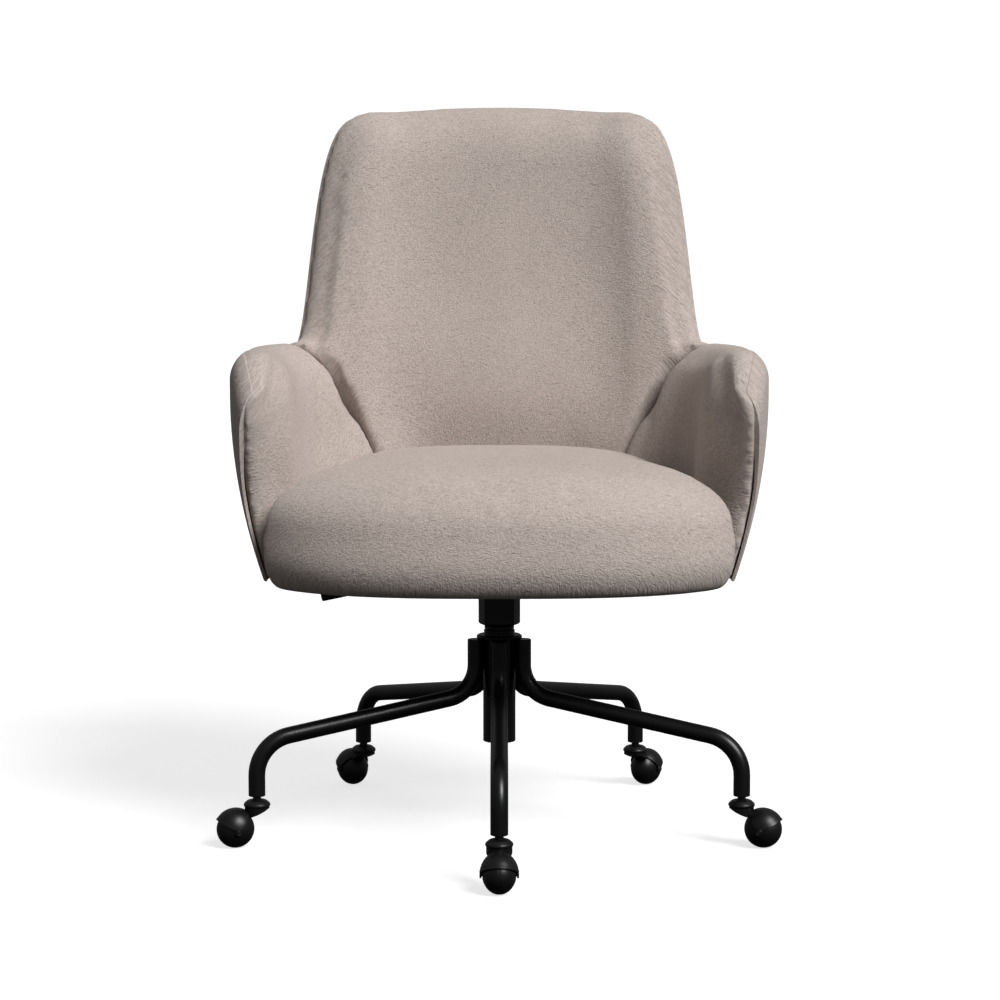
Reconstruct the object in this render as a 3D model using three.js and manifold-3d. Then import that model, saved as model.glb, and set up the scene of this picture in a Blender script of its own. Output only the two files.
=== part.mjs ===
// Swivel office chair: a five-legged tube base on ball castors, a gas lift, and an upholstered tub seat.
// Millimetres, +Z up, +X to the right of someone who faces the chair, the chair faces -Y.
import * as THREE from 'three';
import { mergeVertices } from 'three/addons/utils/BufferGeometryUtils.js';
import Module from 'manifold-3d';

const wasm = await Module();
wasm.setup();

// ---------------------------------------------------------------- driving dimensions

const fitGap = 0.3; // between pieces that touch
const cutMargin = 1; // how far a cutting tool runs past the face it cuts
const degree = Math.PI / 180;

// base
const legCount = 5;
const legSpread = 335; // column axis to castor stem
const legTubeRadius = 11.1;
const legTubeWall = 1.8;
const legTopHeight = 261;
const legEndHeight = 67;
const legSlope = 9.5 * degree; // fall of the long run
const legRunHeight = 188.3; // where the long run would meet the upright
const innerBendRadius = 45;
const outerBendRadius = 52;
const hubRadius = 21.8;
const hubWall = 2.2;
const hubBottom = 121;
const flangeRadius = 29.7;
const flangeThickness = 5;

// castors
const castorTrail = 29.2; // stem to axle
const ballRadius = 25;
const ballHalfWidth = 21.3;
const ballFacets = 20;
const hoodRunningGap = 1.4;
const hoodWall = 1.6;
const hoodTrailingAngle = 28 * degree; // above the horizontal, behind the axle
const hoodLeadingAngle = 50 * degree; // above the horizontal, in front of the axle
const axleRadius = 3;
const axleBossRadius = 5;
const stemRadius = 5.5;
const stemBottom = 46;
const stemTop = 90;
const socketOverrun = 2; // socket above the stem's tip
const collarRadius = 17.5;
const collarTop = 62.5;
const collarBottom = 41;
const collarDome = 5.5; // fall of the collar's rounded top
const collarBrim = 2.5;
const collarStep = 1.2; // brim's overhang over the skirt
const collarSlope = 0.43; // of the underside
const collarLeadingEdge = 38; // height of the sloping underside ahead of the stem

// gas lift
const standTubeWall = 2.5;
const standTubeRise = 3; // above the flange
const standTubeFloor = 3;
const bushingRadius = 20.8;
const bushingHeadHeight = 8.6;
const bushingReach = 76;
const cylinderRadius = 14;
const cylinderTop = 332;
const liftTravel = 90;
const rodRadius = 5;
const rodEngagement = 18; // rod left inside the cylinder at full height
const rodHeadroom = 6; // bore above the rod with the seat down
const taperLength = 34; // top of the cylinder, held in the mechanism
const taper = 1;
const pinLength = 20;
const pinHeadroom = 5; // bore under the release pin
const bearingRadius = 13;
const bearingHeight = 6;
const bumperRadius = 11;
const bumperHeight = 8;
const clipThickness = 1.6;
const clipWidth = 3; // outside the rod
const clipGrooveDepth = 1;
const rodTail = 4; // rod below its clip
const pinRadius = 3;
const pinRise = 3;

// tilt-free seat mechanism
const coverAcross = 56; // across the corners of the octagon
const coverBottom = 280;
const housingBottom = 320.5;
const housingHalfWidth = 62;
const housingFront = 50;
const housingBack = 90;
const sheetThickness = 3;
const bossWall = 4.5;
const bossDrop = 18;
const plateUnderside = 341.4;
const plateHalfWidth = 100;
const plateHalfLength = 95;
const boltSpacingX = 160;
const boltSpacingY = 150;
const boltRadius = 4;
const boltHeadRadius = 7.5;
const boltHeadHeight = 5;
const leverPivotX = 40; // distance of the pivot from the column axis
const leverPivotHeight = 333.5;
const leverRodRadius = 4;
const leverPinRadius = 2;
const leverPinHalfLength = 12.5;
const leverArmHalfWidth = 6;
const barrelRadius = 5;
const barrelHalfLength = 8.5;
const earClearance = 0.5; // barrel to the ears beside it
const leverCrank = 38; // first stretch of the rod, outward from the pivot
const leverCrankRadius = 40;
const leverBendRadius = 20;
const leverStraight = 14; // rod in line with the grip before it enters it
const gripRadius = 6;
const gripLength = 46;
const gripSocketDepth = 32; // rod inside the grip
const gripTip = 239;
const gripTipHeight = 316;
const gripDroop = 12 * degree;

// seat
const panThickness = 12;
const dustCoverThickness = 1;
const dustCoverInset = 12; // inside the pan's edge
const seatWidestHeight = 402;
const seatCrownHeight = 508;
const seatLowerRound = 32;
const seatSquareness = 0.65; // of the crown: 1 is an ellipse, less is flatter
const seatFront = 255; // in front of the column axis
const seatEarHalfWidth = 355;
const seatOutlinePower = 2.6;
const earDelay = 2 * degree; // the cushion's ears start this far past the arm's foot
const earTurn = 3 * degree; // and reach their full width over this much more
const seatWrap = 52; // cushion in front of the pan's edge
const softGap = 1.4;
const padGap = 1.6; // between the shell's curved inner face and the pads

// tub: every point is given by its angle from the rear, its height and its depth under the outer face
const tubCentreY = 40;
const tubBottom = 350;
const tubPower = 2.4;
const tubBottomHalfWidth = 317;
const tubHalfWidth = 358.5;
const tubWidestHeight = 592;
const armForwardReach = 395;
const rearAtSeat = 255; // outer face behind the column axis, at the lumbar height
const lumbarHeight = 500;
const recline = 0.147; // rearward lean of the back, per unit of height
const backTop = 974;
const armTop = 658;
const wingStart = 32.3 * degree;
const wingEnd = 64.7 * degree;
const wingSkew = 2.24;
const armFront = 121 * degree;
const armNose = 13 * degree; // where the arm's top starts to fall
const armNoseDrop = 52;
const armLean = 6 * degree; // how far the foot of the arm's front edge is set back
const leanStart = 95 * degree; // the arm's front edge leans from here on
const leanFoot = 430; // full lean below this height
const leanTop = 600; // no lean above this height
const noseRound = 7 * degree; // how far back the arm's rounded front edge reaches
const backThickness = 72;
const armThickness = 86;
const shellThickness = 16;
const padSplit = 76 * degree;
const shellSetback = 2.6 * degree; // shell's front edge behind the arm's front
const padSetback = 0.6 * degree; // the same for the pads

// ---------------------------------------------------------------- materials

function finish(name, color, roughness, metalness) {
  return new THREE.MeshStandardMaterial({ name, color, roughness, metalness });
}
const blackMetal = finish('black_metal', 0x151515, 0.42, 0.6);
const blackPlastic = finish('black_plastic', 0x18181a, 0.5, 0);
const brightSteel = finish('bright_steel', 0xb4b6b8, 0.3, 1);
const rubber = finish('rubber', 0x202020, 0.8, 0);
const bushingPlastic = finish('bushing_plastic', 0x2a2a2c, 0.45, 0);
const plywood = finish('plywood', 0xb99a6b, 0.7, 0);
const fabric = finish('fabric', 0xaca098, 0.95, 0);
const lining = finish('lining', 0x1c1c1c, 0.95, 0);

// ---------------------------------------------------------------- geometry helpers

function smoothStep(low, high, value) {
  return THREE.MathUtils.smoothstep(value, low, high);
}

function signedVolume(position, index) {
  const a = new THREE.Vector3();
  const b = new THREE.Vector3();
  const c = new THREE.Vector3();
  let volume = 0;
  for (let i = 0; i < index.length; i += 3) {
    a.fromBufferAttribute(position, index[i]);
    b.fromBufferAttribute(position, index[i + 1]);
    c.fromBufferAttribute(position, index[i + 2]);
    volume += a.dot(b.cross(c)) / 6;
  }
  return volume;
}

// Merges shared corners, drops triangles that have shrunk to a line, and turns the faces outward.
function closed(geometry) {
  const bare = geometry.clone();
  bare.deleteAttribute('normal');
  bare.deleteAttribute('uv');
  const merged = mergeVertices(bare, 1e-4);
  const corners = merged.index.array;
  const kept = [];
  for (let i = 0; i < corners.length; i += 3) {
    const [a, b, c] = corners.slice(i, i + 3);
    if (a !== b && b !== c && c !== a) kept.push(a, b, c);
  }
  if (signedVolume(merged.attributes.position, kept) < 0) kept.reverse();
  merged.setIndex(kept);
  merged.computeVertexNormals();
  return merged;
}

function toSolid(geometry) {
  const body = closed(geometry);
  return new wasm.Manifold(new wasm.Mesh({
    numProp: 3,
    vertProperties: new Float32Array(body.attributes.position.array),
    triVerts: new Uint32Array(body.index.array),
  }));
}

function toGeometry(solid) {
  const mesh = solid.getMesh();
  const geometry = new THREE.BufferGeometry();
  geometry.setAttribute('position', new THREE.BufferAttribute(new Float32Array(mesh.vertProperties), 3));
  geometry.setIndex(Array.from(mesh.triVerts));
  return geometry;
}

function cut(geometry, ...tools) {
  return toGeometry(tools.reduce((left, tool) => left.subtract(toSolid(tool)), toSolid(geometry)));
}

function join(...geometries) {
  return toGeometry(geometries.map(toSolid).reduce((whole, next) => whole.add(next)));
}

// Turns a profile of [radius, height] pairs about the Z axis.
function turned(profile, segments = 24) {
  const points = profile.map(([radius, height]) => new THREE.Vector2(radius, height));
  return new THREE.LatheGeometry(points, segments).rotateX(Math.PI / 2);
}

function rod(radius, bottom, top, segments = 16) {
  return turned([[0, bottom], [radius, bottom], [radius, top], [0, top]], segments);
}

function ring(outer, inner, bottom, top, segments = 24) {
  return turned([[inner, bottom], [outer, bottom], [outer, top], [inner, top], [inner, bottom]], segments);
}

function crossRod(radius, from, to, segments = 16) {
  return rod(radius, from, to, segments).rotateX(-Math.PI / 2);
}

function block(x0, x1, y0, y1, z0, z1) {
  const box = new THREE.BoxGeometry(x1 - x0, y1 - y0, z1 - z0);
  return box.translate((x0 + x1) / 2, (y0 + y1) / 2, (z0 + z1) / 2);
}

function outlineSlab(points, bottom, top) {
  const outline = new THREE.Shape(points.map(([x, y]) => new THREE.Vector2(x, y)));
  const slab = new THREE.ExtrudeGeometry(outline, { depth: top - bottom, bevelEnabled: false });
  return slab.translate(0, 0, bottom);
}

// Straight lengths joined by round bends; a bend takes several steps, a straight takes one.
class BentPath extends THREE.Curve {
  constructor(corners, bendRadii, stepsPerBend) {
    super();
    this.stations = [];
    const last = corners.length - 1;
    const heading = (i) => corners[i + 1].clone().sub(corners[i]).normalize();
    this.stations.push({ point: corners[0], tangent: heading(0) });
    for (let i = 1; i < last; i += 1) {
      this.addBend(corners[i], heading(i - 1), heading(i), bendRadii[i - 1], stepsPerBend);
    }
    this.stations.push({ point: corners[last], tangent: heading(last - 1) });
  }

  addBend(corner, before, after, radius, steps) {
    const turn = before.angleTo(after);
    const start = corner.clone().addScaledVector(before, -radius * Math.tan(turn / 2));
    const inward = after.clone().addScaledVector(before, -after.dot(before)).normalize();
    for (let step = 0; step <= steps; step += 1) {
      const angle = (turn * step) / steps;
      const point = start.clone()
        .addScaledVector(before, radius * Math.sin(angle))
        .addScaledVector(inward, radius * (1 - Math.cos(angle)));
      const tangent = before.clone().multiplyScalar(Math.cos(angle)).addScaledVector(inward, Math.sin(angle));
      this.stations.push({ point, tangent });
    }
  }

  get steps() {
    return this.stations.length - 1;
  }

  getPointAt(u) {
    return this.stations[Math.round(u * this.steps)].point.clone();
  }

  getTangentAt(u) {
    return this.stations[Math.round(u * this.steps)].tangent.clone();
  }
}

function bentRod(path, radius, sides) {
  const section = new THREE.Shape(new THREE.Path().absarc(0, 0, radius, 0, 2 * Math.PI).getSpacedPoints(sides));
  return new THREE.ExtrudeGeometry(section, { steps: path.steps, extrudePath: path, bevelEnabled: false });
}

const chair = new THREE.Group();

function addPiece(parent, name, geometry, material) {
  const mesh = new THREE.Mesh(closed(geometry), material);
  mesh.name = name;
  parent.add(mesh);
}

// ---------------------------------------------------------------- base

const legAngle = (index) => -Math.PI / 2 + (2 * Math.PI * index) / legCount;
const uprightRadius = hubRadius + fitGap + legTubeRadius;
const legBore = legTubeRadius - legTubeWall;
const legBoreSides = 8;

function legCorners(topHeight, endHeight) {
  const runEndHeight = legRunHeight - (legSpread - uprightRadius) * Math.tan(legSlope);
  return [
    new THREE.Vector3(uprightRadius, 0, topHeight),
    new THREE.Vector3(uprightRadius, 0, legRunHeight),
    new THREE.Vector3(legSpread, 0, runEndHeight),
    new THREE.Vector3(legSpread, 0, endHeight),
  ];
}

function makeLeg() {
  const bends = [innerBendRadius, outerBendRadius];
  const outside = new BentPath(legCorners(legTopHeight, legEndHeight), bends, 4);
  const hollow = new BentPath(legCorners(legTopHeight - legTubeWall, legEndHeight - cutMargin), bends, 4);
  return cut(bentRod(outside, legTubeRadius, 12), bentRod(hollow, legBore, legBoreSides));
}

function makeHub() {
  const chamfer = 1.5;
  const bore = hubRadius - hubWall;
  const top = legTopHeight - fitGap;
  return turned([
    [bore, hubBottom], [hubRadius - chamfer, hubBottom], [hubRadius, hubBottom + chamfer],
    [hubRadius, top], [bore, top], [bore, hubBottom],
  ]);
}

function makeFlange() {
  const bore = hubRadius - hubWall;
  const top = legTopHeight + flangeThickness;
  const chamfer = 2.2;
  return turned([
    [bore, legTopHeight], [flangeRadius, legTopHeight], [flangeRadius, top - chamfer],
    [flangeRadius - chamfer, top], [bore, top], [bore, legTopHeight],
  ]);
}

const base = new THREE.Group();
chair.add(base);
addPiece(base, 'hub_tube', makeHub(), blackMetal);
addPiece(base, 'hub_flange', makeFlange(), blackMetal);

// ---------------------------------------------------------------- castors, one on each leg

function makeSocket() {
  const insideFlats = (legBore - fitGap) * Math.cos(Math.PI / legBoreSides);
  return ring(insideFlats, stemRadius + fitGap, legEndHeight, stemTop + socketOverrun, 12);
}

function makeStem() {
  const chamfer = 1.5;
  return turned([[0, stemBottom], [stemRadius, stemBottom], [stemRadius, stemTop - chamfer],
    [stemRadius - chamfer, stemTop], [0, stemTop]], 12);
}

function ballShape(radius, halfWidth) {
  return new THREE.SphereGeometry(1, 14, 8).scale(radius, halfWidth, radius).translate(castorTrail, 0, ballRadius);
}

function makeCollar() {
  const bore = stemRadius + fitGap;
  const skirtRadius = collarRadius - collarStep;
  const brim = collarTop - collarDome;
  const brimFoot = brim - collarBrim;
  return turned([
    [bore, collarTop], [collarRadius - collarDome, collarTop - collarDome / 3],
    [collarRadius, brim], [collarRadius, brimFoot], [skirtRadius, brimFoot - collarStep],
    [skirtRadius, collarBottom], [bore, collarBottom], [bore, collarTop],
  ], 12);
}

// The sector of the hood, seen along the axle, as a slab wider than the hood.
function hoodSector() {
  const reach = 2 * ballRadius;
  const steps = 2;
  const points = [[0, 0]];
  for (let step = 0; step <= steps; step += 1) {
    const angle = hoodTrailingAngle + ((Math.PI - hoodLeadingAngle - hoodTrailingAngle) * step) / steps;
    points.push([reach * Math.cos(angle), reach * Math.sin(angle)]);
  }
  return outlineSlab(points, -reach, reach).rotateX(Math.PI / 2).translate(castorTrail, 0, ballRadius);
}

// What is cut off the collar's underside: it slopes down from its leading edge towards the ball.
function collarUnderside() {
  const deep = collarLeadingEdge - collarRadius;
  const high = collarLeadingEdge + 3 * collarRadius * collarSlope;
  const points = [[-2 * collarRadius, high], [collarRadius, collarLeadingEdge], [collarRadius, deep],
    [-2 * collarRadius, deep]];
  return outlineSlab(points, -2 * collarRadius, 2 * collarRadius).rotateX(Math.PI / 2);
}

function makeYoke() {
  const innerRadius = ballRadius / Math.cos(Math.PI / ballFacets) + hoodRunningGap;
  const innerHalfWidth = ballHalfWidth + hoodRunningGap;
  const clearance = ballShape(innerRadius, innerHalfWidth);
  const crust = toSolid(ballShape(innerRadius + hoodWall, innerHalfWidth + hoodWall));
  const hood = crust.intersect(toSolid(hoodSector()));
  const collar = toSolid(cut(makeCollar(), collarUnderside()));
  const outer = innerHalfWidth + hoodWall;
  const boss = crossRod(axleBossRadius, -outer, outer, 8).translate(castorTrail, 0, ballRadius);
  const holeEnd = outer + cutMargin;
  const axleHole = crossRod(axleRadius + fitGap, -holeEnd, holeEnd, 8).translate(castorTrail, 0, ballRadius);
  const lump = toGeometry(hood.add(collar).add(toSolid(boss)));
  const stemHole = rod(stemRadius + fitGap, stemBottom - ballRadius, collarTop + cutMargin, 12);
  return cut(lump, clearance, axleHole, stemHole);
}

function makeWheel() {
  const stretch = 1 / Math.cos(Math.PI / ballFacets); // so that the flats, not the corners, lie on the radius
  const bore = axleRadius + 2 * fitGap;
  const tread = 8;
  const shoulder = 44;
  const pole = 74;
  const profile = [-pole, -shoulder, -tread, tread, shoulder, pole].map((latitude) => {
    const radius = Math.abs(latitude) === tread ? ballRadius : ballRadius * Math.cos(latitude * degree);
    return [radius * stretch, ballHalfWidth * Math.sin(latitude * degree)];
  });
  const end = profile[profile.length - 1][1];
  const outline = [[bore, -end], ...profile, [bore, end], [bore, -end]];
  return turned(outline, ballFacets).rotateZ(Math.PI / ballFacets).rotateX(Math.PI / 2);
}

for (let index = 0; index < legCount; index += 1) {
  const number = index + 1;
  const leg = new THREE.Group();
  leg.rotation.z = legAngle(index);
  base.add(leg);
  addPiece(leg, `leg_${number}`, makeLeg(), blackMetal);
  const castor = new THREE.Group();
  castor.position.x = legSpread;
  leg.add(castor);
  addPiece(castor, `castor_socket_${number}`, makeSocket(), blackPlastic);
  addPiece(castor, `castor_stem_${number}`, makeStem(), brightSteel);
  addPiece(castor, `castor_yoke_${number}`, makeYoke(), blackPlastic);
  const axleHalfLength = ballHalfWidth + hoodRunningGap + hoodWall;
  const axle = crossRod(axleRadius * Math.cos(Math.PI / 8), -axleHalfLength, axleHalfLength, 8);
  addPiece(castor, `castor_axle_${number}`, axle.translate(castorTrail, 0, ballRadius), brightSteel);
  const wheel = makeWheel().translate(castorTrail, 0, ballRadius);
  addPiece(castor, `castor_wheel_${number}`, wheel, blackPlastic);
}

// ---------------------------------------------------------------- gas lift

const standTubeRadius = hubRadius - hubWall - fitGap;
const standTubeBore = standTubeRadius - standTubeWall;
const standTubeTop = legTopHeight + flangeThickness + standTubeRise;
const bearingBottom = hubBottom + standTubeFloor + fitGap;
const bumperBottom = bearingBottom + bearingHeight + fitGap;
const cylinderBottom = bumperBottom + bumperHeight + fitGap;
const rodTop = cylinderBottom + liftTravel + rodEngagement;
const clipBottom = hubBottom - fitGap - clipThickness;
const pinTop = cylinderTop + pinRise;
const pinBottom = pinTop - pinLength;

function makeStandTube() {
  const floorHole = rodRadius + fitGap;
  return turned([
    [floorHole, hubBottom], [standTubeRadius, hubBottom], [standTubeRadius, standTubeTop],
    [standTubeBore, standTubeTop], [standTubeBore, hubBottom + standTubeFloor],
    [floorHole, hubBottom + standTubeFloor], [floorHole, hubBottom],
  ]);
}

function makeBushing() {
  const bore = cylinderRadius + fitGap;
  const sleeve = standTubeBore - fitGap;
  const seat = standTubeTop + fitGap;
  const top = seat + bushingHeadHeight;
  const chamfer = 1.8;
  return turned([
    [bore, standTubeTop - bushingReach], [sleeve, standTubeTop - bushingReach], [sleeve, seat],
    [bushingRadius, seat], [bushingRadius, top - chamfer], [bushingRadius - chamfer, top], [bore, top],
    [bore, standTubeTop - bushingReach],
  ]);
}

function makeCylinder() {
  const rodBore = rodRadius + fitGap;
  const rodBoreTop = rodTop + rodHeadroom;
  const pinBore = pinRadius + fitGap;
  const pinBoreBottom = pinBottom - pinHeadroom;
  return turned([
    [rodBore, cylinderBottom], [cylinderRadius, cylinderBottom], [cylinderRadius, cylinderTop - taperLength],
    [cylinderRadius - taper, cylinderTop], [pinBore, cylinderTop], [pinBore, pinBoreBottom], [0, pinBoreBottom],
    [0, rodBoreTop], [rodBore, rodBoreTop], [rodBore, cylinderBottom],
  ]);
}

function makeClip() {
  const outer = rodRadius + clipWidth;
  const top = clipBottom + clipThickness;
  const halfMouth = 1.5;
  const mouth = block(0, outer + cutMargin, -halfMouth, halfMouth, clipBottom - cutMargin, top + cutMargin);
  return cut(ring(outer, rodRadius - clipGrooveDepth + fitGap, clipBottom, top, 20), mouth);
}

function makeRod() {
  const groove = rodRadius - clipGrooveDepth;
  const bottom = clipBottom - rodTail;
  return turned([
    [0, bottom], [rodRadius, bottom], [rodRadius, clipBottom - fitGap], [groove, clipBottom - fitGap],
    [groove, clipBottom + clipThickness + fitGap], [rodRadius, clipBottom + clipThickness + fitGap],
    [rodRadius, rodTop], [0, rodTop],
  ], 16);
}

addPiece(base, 'stand_tube', makeStandTube(), blackMetal);
addPiece(base, 'guide_bushing', makeBushing(), bushingPlastic);
addPiece(base, 'piston_rod', makeRod(), brightSteel);
addPiece(base, 'retaining_clip', makeClip(), brightSteel);
const bearingBore = rodRadius + fitGap;
const bearing = ring(bearingRadius, bearingBore, bearingBottom, bearingBottom + bearingHeight, 20);
addPiece(base, 'thrust_bearing', bearing, brightSteel);
const bumper = ring(bumperRadius, bearingBore, bumperBottom, bumperBottom + bumperHeight, 20);
addPiece(base, 'bump_stop', bumper, rubber);

const seat = new THREE.Group();
chair.add(seat);
addPiece(seat, 'gas_cylinder', makeCylinder(), blackMetal);
addPiece(seat, 'release_pin', rod(pinRadius, pinBottom, pinTop, 12), brightSteel);

// ---------------------------------------------------------------- seat mechanism

const bossRadius = cylinderRadius + fitGap + bossWall;
const plateTop = plateUnderside + sheetThickness;
const gripEnd = new THREE.Vector3(-gripTip, 0, gripTipHeight);
const gripHeading = new THREE.Vector3(-Math.cos(gripDroop), 0, -Math.sin(gripDroop));
const gripMouth = gripEnd.clone().addScaledVector(gripHeading, -gripLength);
const coverTop = housingBottom - fitGap;

function makeCover() {
  const corner = coverAcross / 2;
  const chamfer = 3;
  const bore = bossRadius + fitGap;
  const body = turned([
    [bore, coverBottom], [corner - chamfer, coverBottom], [corner, coverBottom + chamfer],
    [corner, coverTop], [bore, coverTop], [bore, coverBottom],
  ], 8);
  return cut(body, rod(bore, coverBottom - cutMargin, coverTop + cutMargin, 24));
}

function pivotBore() {
  const reach = 2 * barrelHalfLength;
  return crossRod(leverPinRadius + fitGap, -reach, reach, 12).translate(-leverPivotX, 0, leverPivotHeight);
}

function makeHousing() {
  const top = plateUnderside - fitGap;
  const wall = sheetThickness;
  const tray = cut(
    block(-housingHalfWidth, housingHalfWidth, -housingFront, housingBack, housingBottom, top),
    block(wall - housingHalfWidth, housingHalfWidth - wall, wall - housingFront, housingBack - wall,
      housingBottom + wall, top + cutMargin),
  );
  const boss = rod(bossRadius, housingBottom - bossDrop, housingBottom + wall, 24);
  const earInner = barrelHalfLength + earClearance;
  const earOuter = earInner + wall;
  const ears = [1, -1].map((side) => block(-leverPivotX - barrelRadius - 1, -leverPivotX + barrelRadius + 1,
    Math.min(side * earInner, side * earOuter), Math.max(side * earInner, side * earOuter),
    housingBottom + wall / 2, leverPivotHeight + barrelRadius));
  const slotFoot = housingBottom + wall + earClearance;
  const slotHalfWidth = 2 * leverRodRadius;
  const slot = block(-housingHalfWidth - cutMargin, wall + cutMargin - housingHalfWidth,
    -slotHalfWidth, slotHalfWidth, slotFoot, top + cutMargin);
  const socket = rod(cylinderRadius + fitGap, housingBottom - bossDrop - cutMargin,
    housingBottom + wall + cutMargin, 24);
  return cut(join(tray, boss, ...ears), slot, socket, pivotBore());
}

function makeLever() {
  const armBottom = pinTop + 2 * fitGap;
  const armTip = pinRadius + 3;
  const arm = block(-leverPivotX, armTip, -leverArmHalfWidth, leverArmHalfWidth, armBottom,
    armBottom + sheetThickness);
  const barrel = crossRod(barrelRadius, -barrelHalfLength, barrelHalfLength, 16)
    .translate(-leverPivotX, 0, leverPivotHeight);
  const route = new BentPath([
    new THREE.Vector3(-leverPivotX, 0, leverPivotHeight),
    new THREE.Vector3(-leverPivotX - leverCrank, 0, gripMouth.z),
    gripMouth.clone().addScaledVector(gripHeading, -leverStraight),
    gripMouth.clone().addScaledVector(gripHeading, gripSocketDepth - fitGap),
  ], [leverCrankRadius, leverBendRadius], 3);
  return cut(join(arm, barrel, bentRod(route, leverRodRadius, 12)), pivotBore());
}

function makeGrip() {
  const roundSteps = 4;
  const profile = [[0, 0]];
  for (let step = 1; step <= roundSteps; step += 1) {
    const angle = (step / roundSteps) * (Math.PI / 2);
    profile.push([gripRadius * Math.sin(angle), gripRadius * (1 - Math.cos(angle))]);
  }
  const bore = leverRodRadius + fitGap;
  const socketEnd = gripLength - gripSocketDepth;
  profile.push([gripRadius, gripLength], [bore, gripLength], [bore, socketEnd], [0, socketEnd]);
  const mouthwards = gripHeading.clone().negate();
  const turn = new THREE.Quaternion().setFromUnitVectors(new THREE.Vector3(0, 0, 1), mouthwards);
  return turned(profile, 16).applyQuaternion(turn).translate(gripEnd.x, gripEnd.y, gripEnd.z);
}

const boltPlaces = [[-1, -1], [1, -1], [1, 1], [-1, 1]].map(([sideX, sideY]) => (
  [(sideX * boltSpacingX) / 2, (sideY * boltSpacingY) / 2]));

function boltHoles(bottom, top) {
  return boltPlaces.map(([x, y]) => rod(boltRadius + fitGap, bottom, top, 12).translate(x, y, 0));
}

function makeBolt() {
  const shoulder = plateUnderside - fitGap;
  return turned([
    [0, shoulder - boltHeadHeight], [boltHeadRadius, shoulder - boltHeadHeight], [boltHeadRadius, shoulder],
    [boltRadius, shoulder], [boltRadius, plateTop + dustCoverThickness + panThickness],
    [0, plateTop + dustCoverThickness + panThickness],
  ], 12);
}

addPiece(seat, 'column_cover', makeCover(), blackPlastic);
addPiece(seat, 'mechanism_housing', makeHousing(), blackMetal);
const plate = block(-plateHalfWidth, plateHalfWidth, -plateHalfLength, plateHalfLength, plateUnderside, plateTop);
const plateHoles = boltHoles(plateUnderside - cutMargin, plateTop + cutMargin);
addPiece(seat, 'seat_plate', cut(plate, ...plateHoles), blackMetal);
boltPlaces.forEach(([x, y], index) => {
  addPiece(seat, `seat_bolt_${index + 1}`, makeBolt().translate(x, y, 0), brightSteel);
});
addPiece(seat, 'release_lever', makeLever(), blackMetal);
addPiece(seat, 'lever_grip', makeGrip(), blackPlastic);
const pivotPin = crossRod(leverPinRadius, -leverPinHalfLength, leverPinHalfLength, 12).translate(-leverPivotX, 0, leverPivotHeight);
addPiece(seat, 'lever_pivot_pin', pivotPin, brightSteel);

// ---------------------------------------------------------------- tub surfaces

function tubSide(height) {
  const drop = Math.max(0, tubWidestHeight - height) / (tubWidestHeight - tubBottom);
  return tubHalfWidth - (tubHalfWidth - tubBottomHalfWidth) * drop ** 2;
}

// Distance from the tub's centre line to its outer face.
function tubReach(angle, height) {
  const rear = rearAtSeat - tubCentreY + (height - lumbarHeight) * recline;
  const along = Math.cos(angle) >= 0 ? rear : armForwardReach;
  const side = (Math.abs(Math.sin(angle)) / tubSide(height)) ** tubPower;
  const front = (Math.abs(Math.cos(angle)) / along) ** tubPower;
  return (side + front) ** (-1 / tubPower);
}

function tubThickness(angle) {
  return THREE.MathUtils.lerp(backThickness, armThickness, smoothStep(wingStart, padSplit, Math.abs(angle)));
}

// Height of the tub's rim: the back, the wing that falls from it, the arm and the arm's nose.
function rimHeight(angle) {
  const turn = Math.abs(angle);
  const along = THREE.MathUtils.clamp((turn - wingStart) / (wingEnd - wingStart), 0, 1) ** wingSkew;
  const nose = Math.max(0, turn - (armFront - armNose)) / armNose;
  return THREE.MathUtils.lerp(backTop, armTop, smoothStep(0, 1, along)) - armNoseDrop * nose ** 2;
}

function tubPoint(angle, height, depth) {
  const fromSide = Math.max(0, (Math.abs(angle) - leanStart) / (armFront - leanStart));
  const lean = armLean * fromSide * (1 - smoothStep(leanFoot, leanTop, height));
  const bearingAngle = angle - Math.sign(angle) * lean;
  const reach = tubReach(bearingAngle, height) - depth;
  return [reach * Math.sin(bearingAngle), tubCentreY + reach * Math.cos(bearingAngle), height];
}

// Where the rim runs steeply, its rounding is measured across the rim, so it reaches further down.
function rimStretch(angle) {
  const step = 0.5 * degree;
  const before = new THREE.Vector3(...tubPoint(angle - step, rimHeight(angle - step), 0));
  const after = new THREE.Vector3(...tubPoint(angle + step, rimHeight(angle + step), 0));
  return before.distanceTo(after) / Math.hypot(after.x - before.x, after.y - before.y);
}

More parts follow.
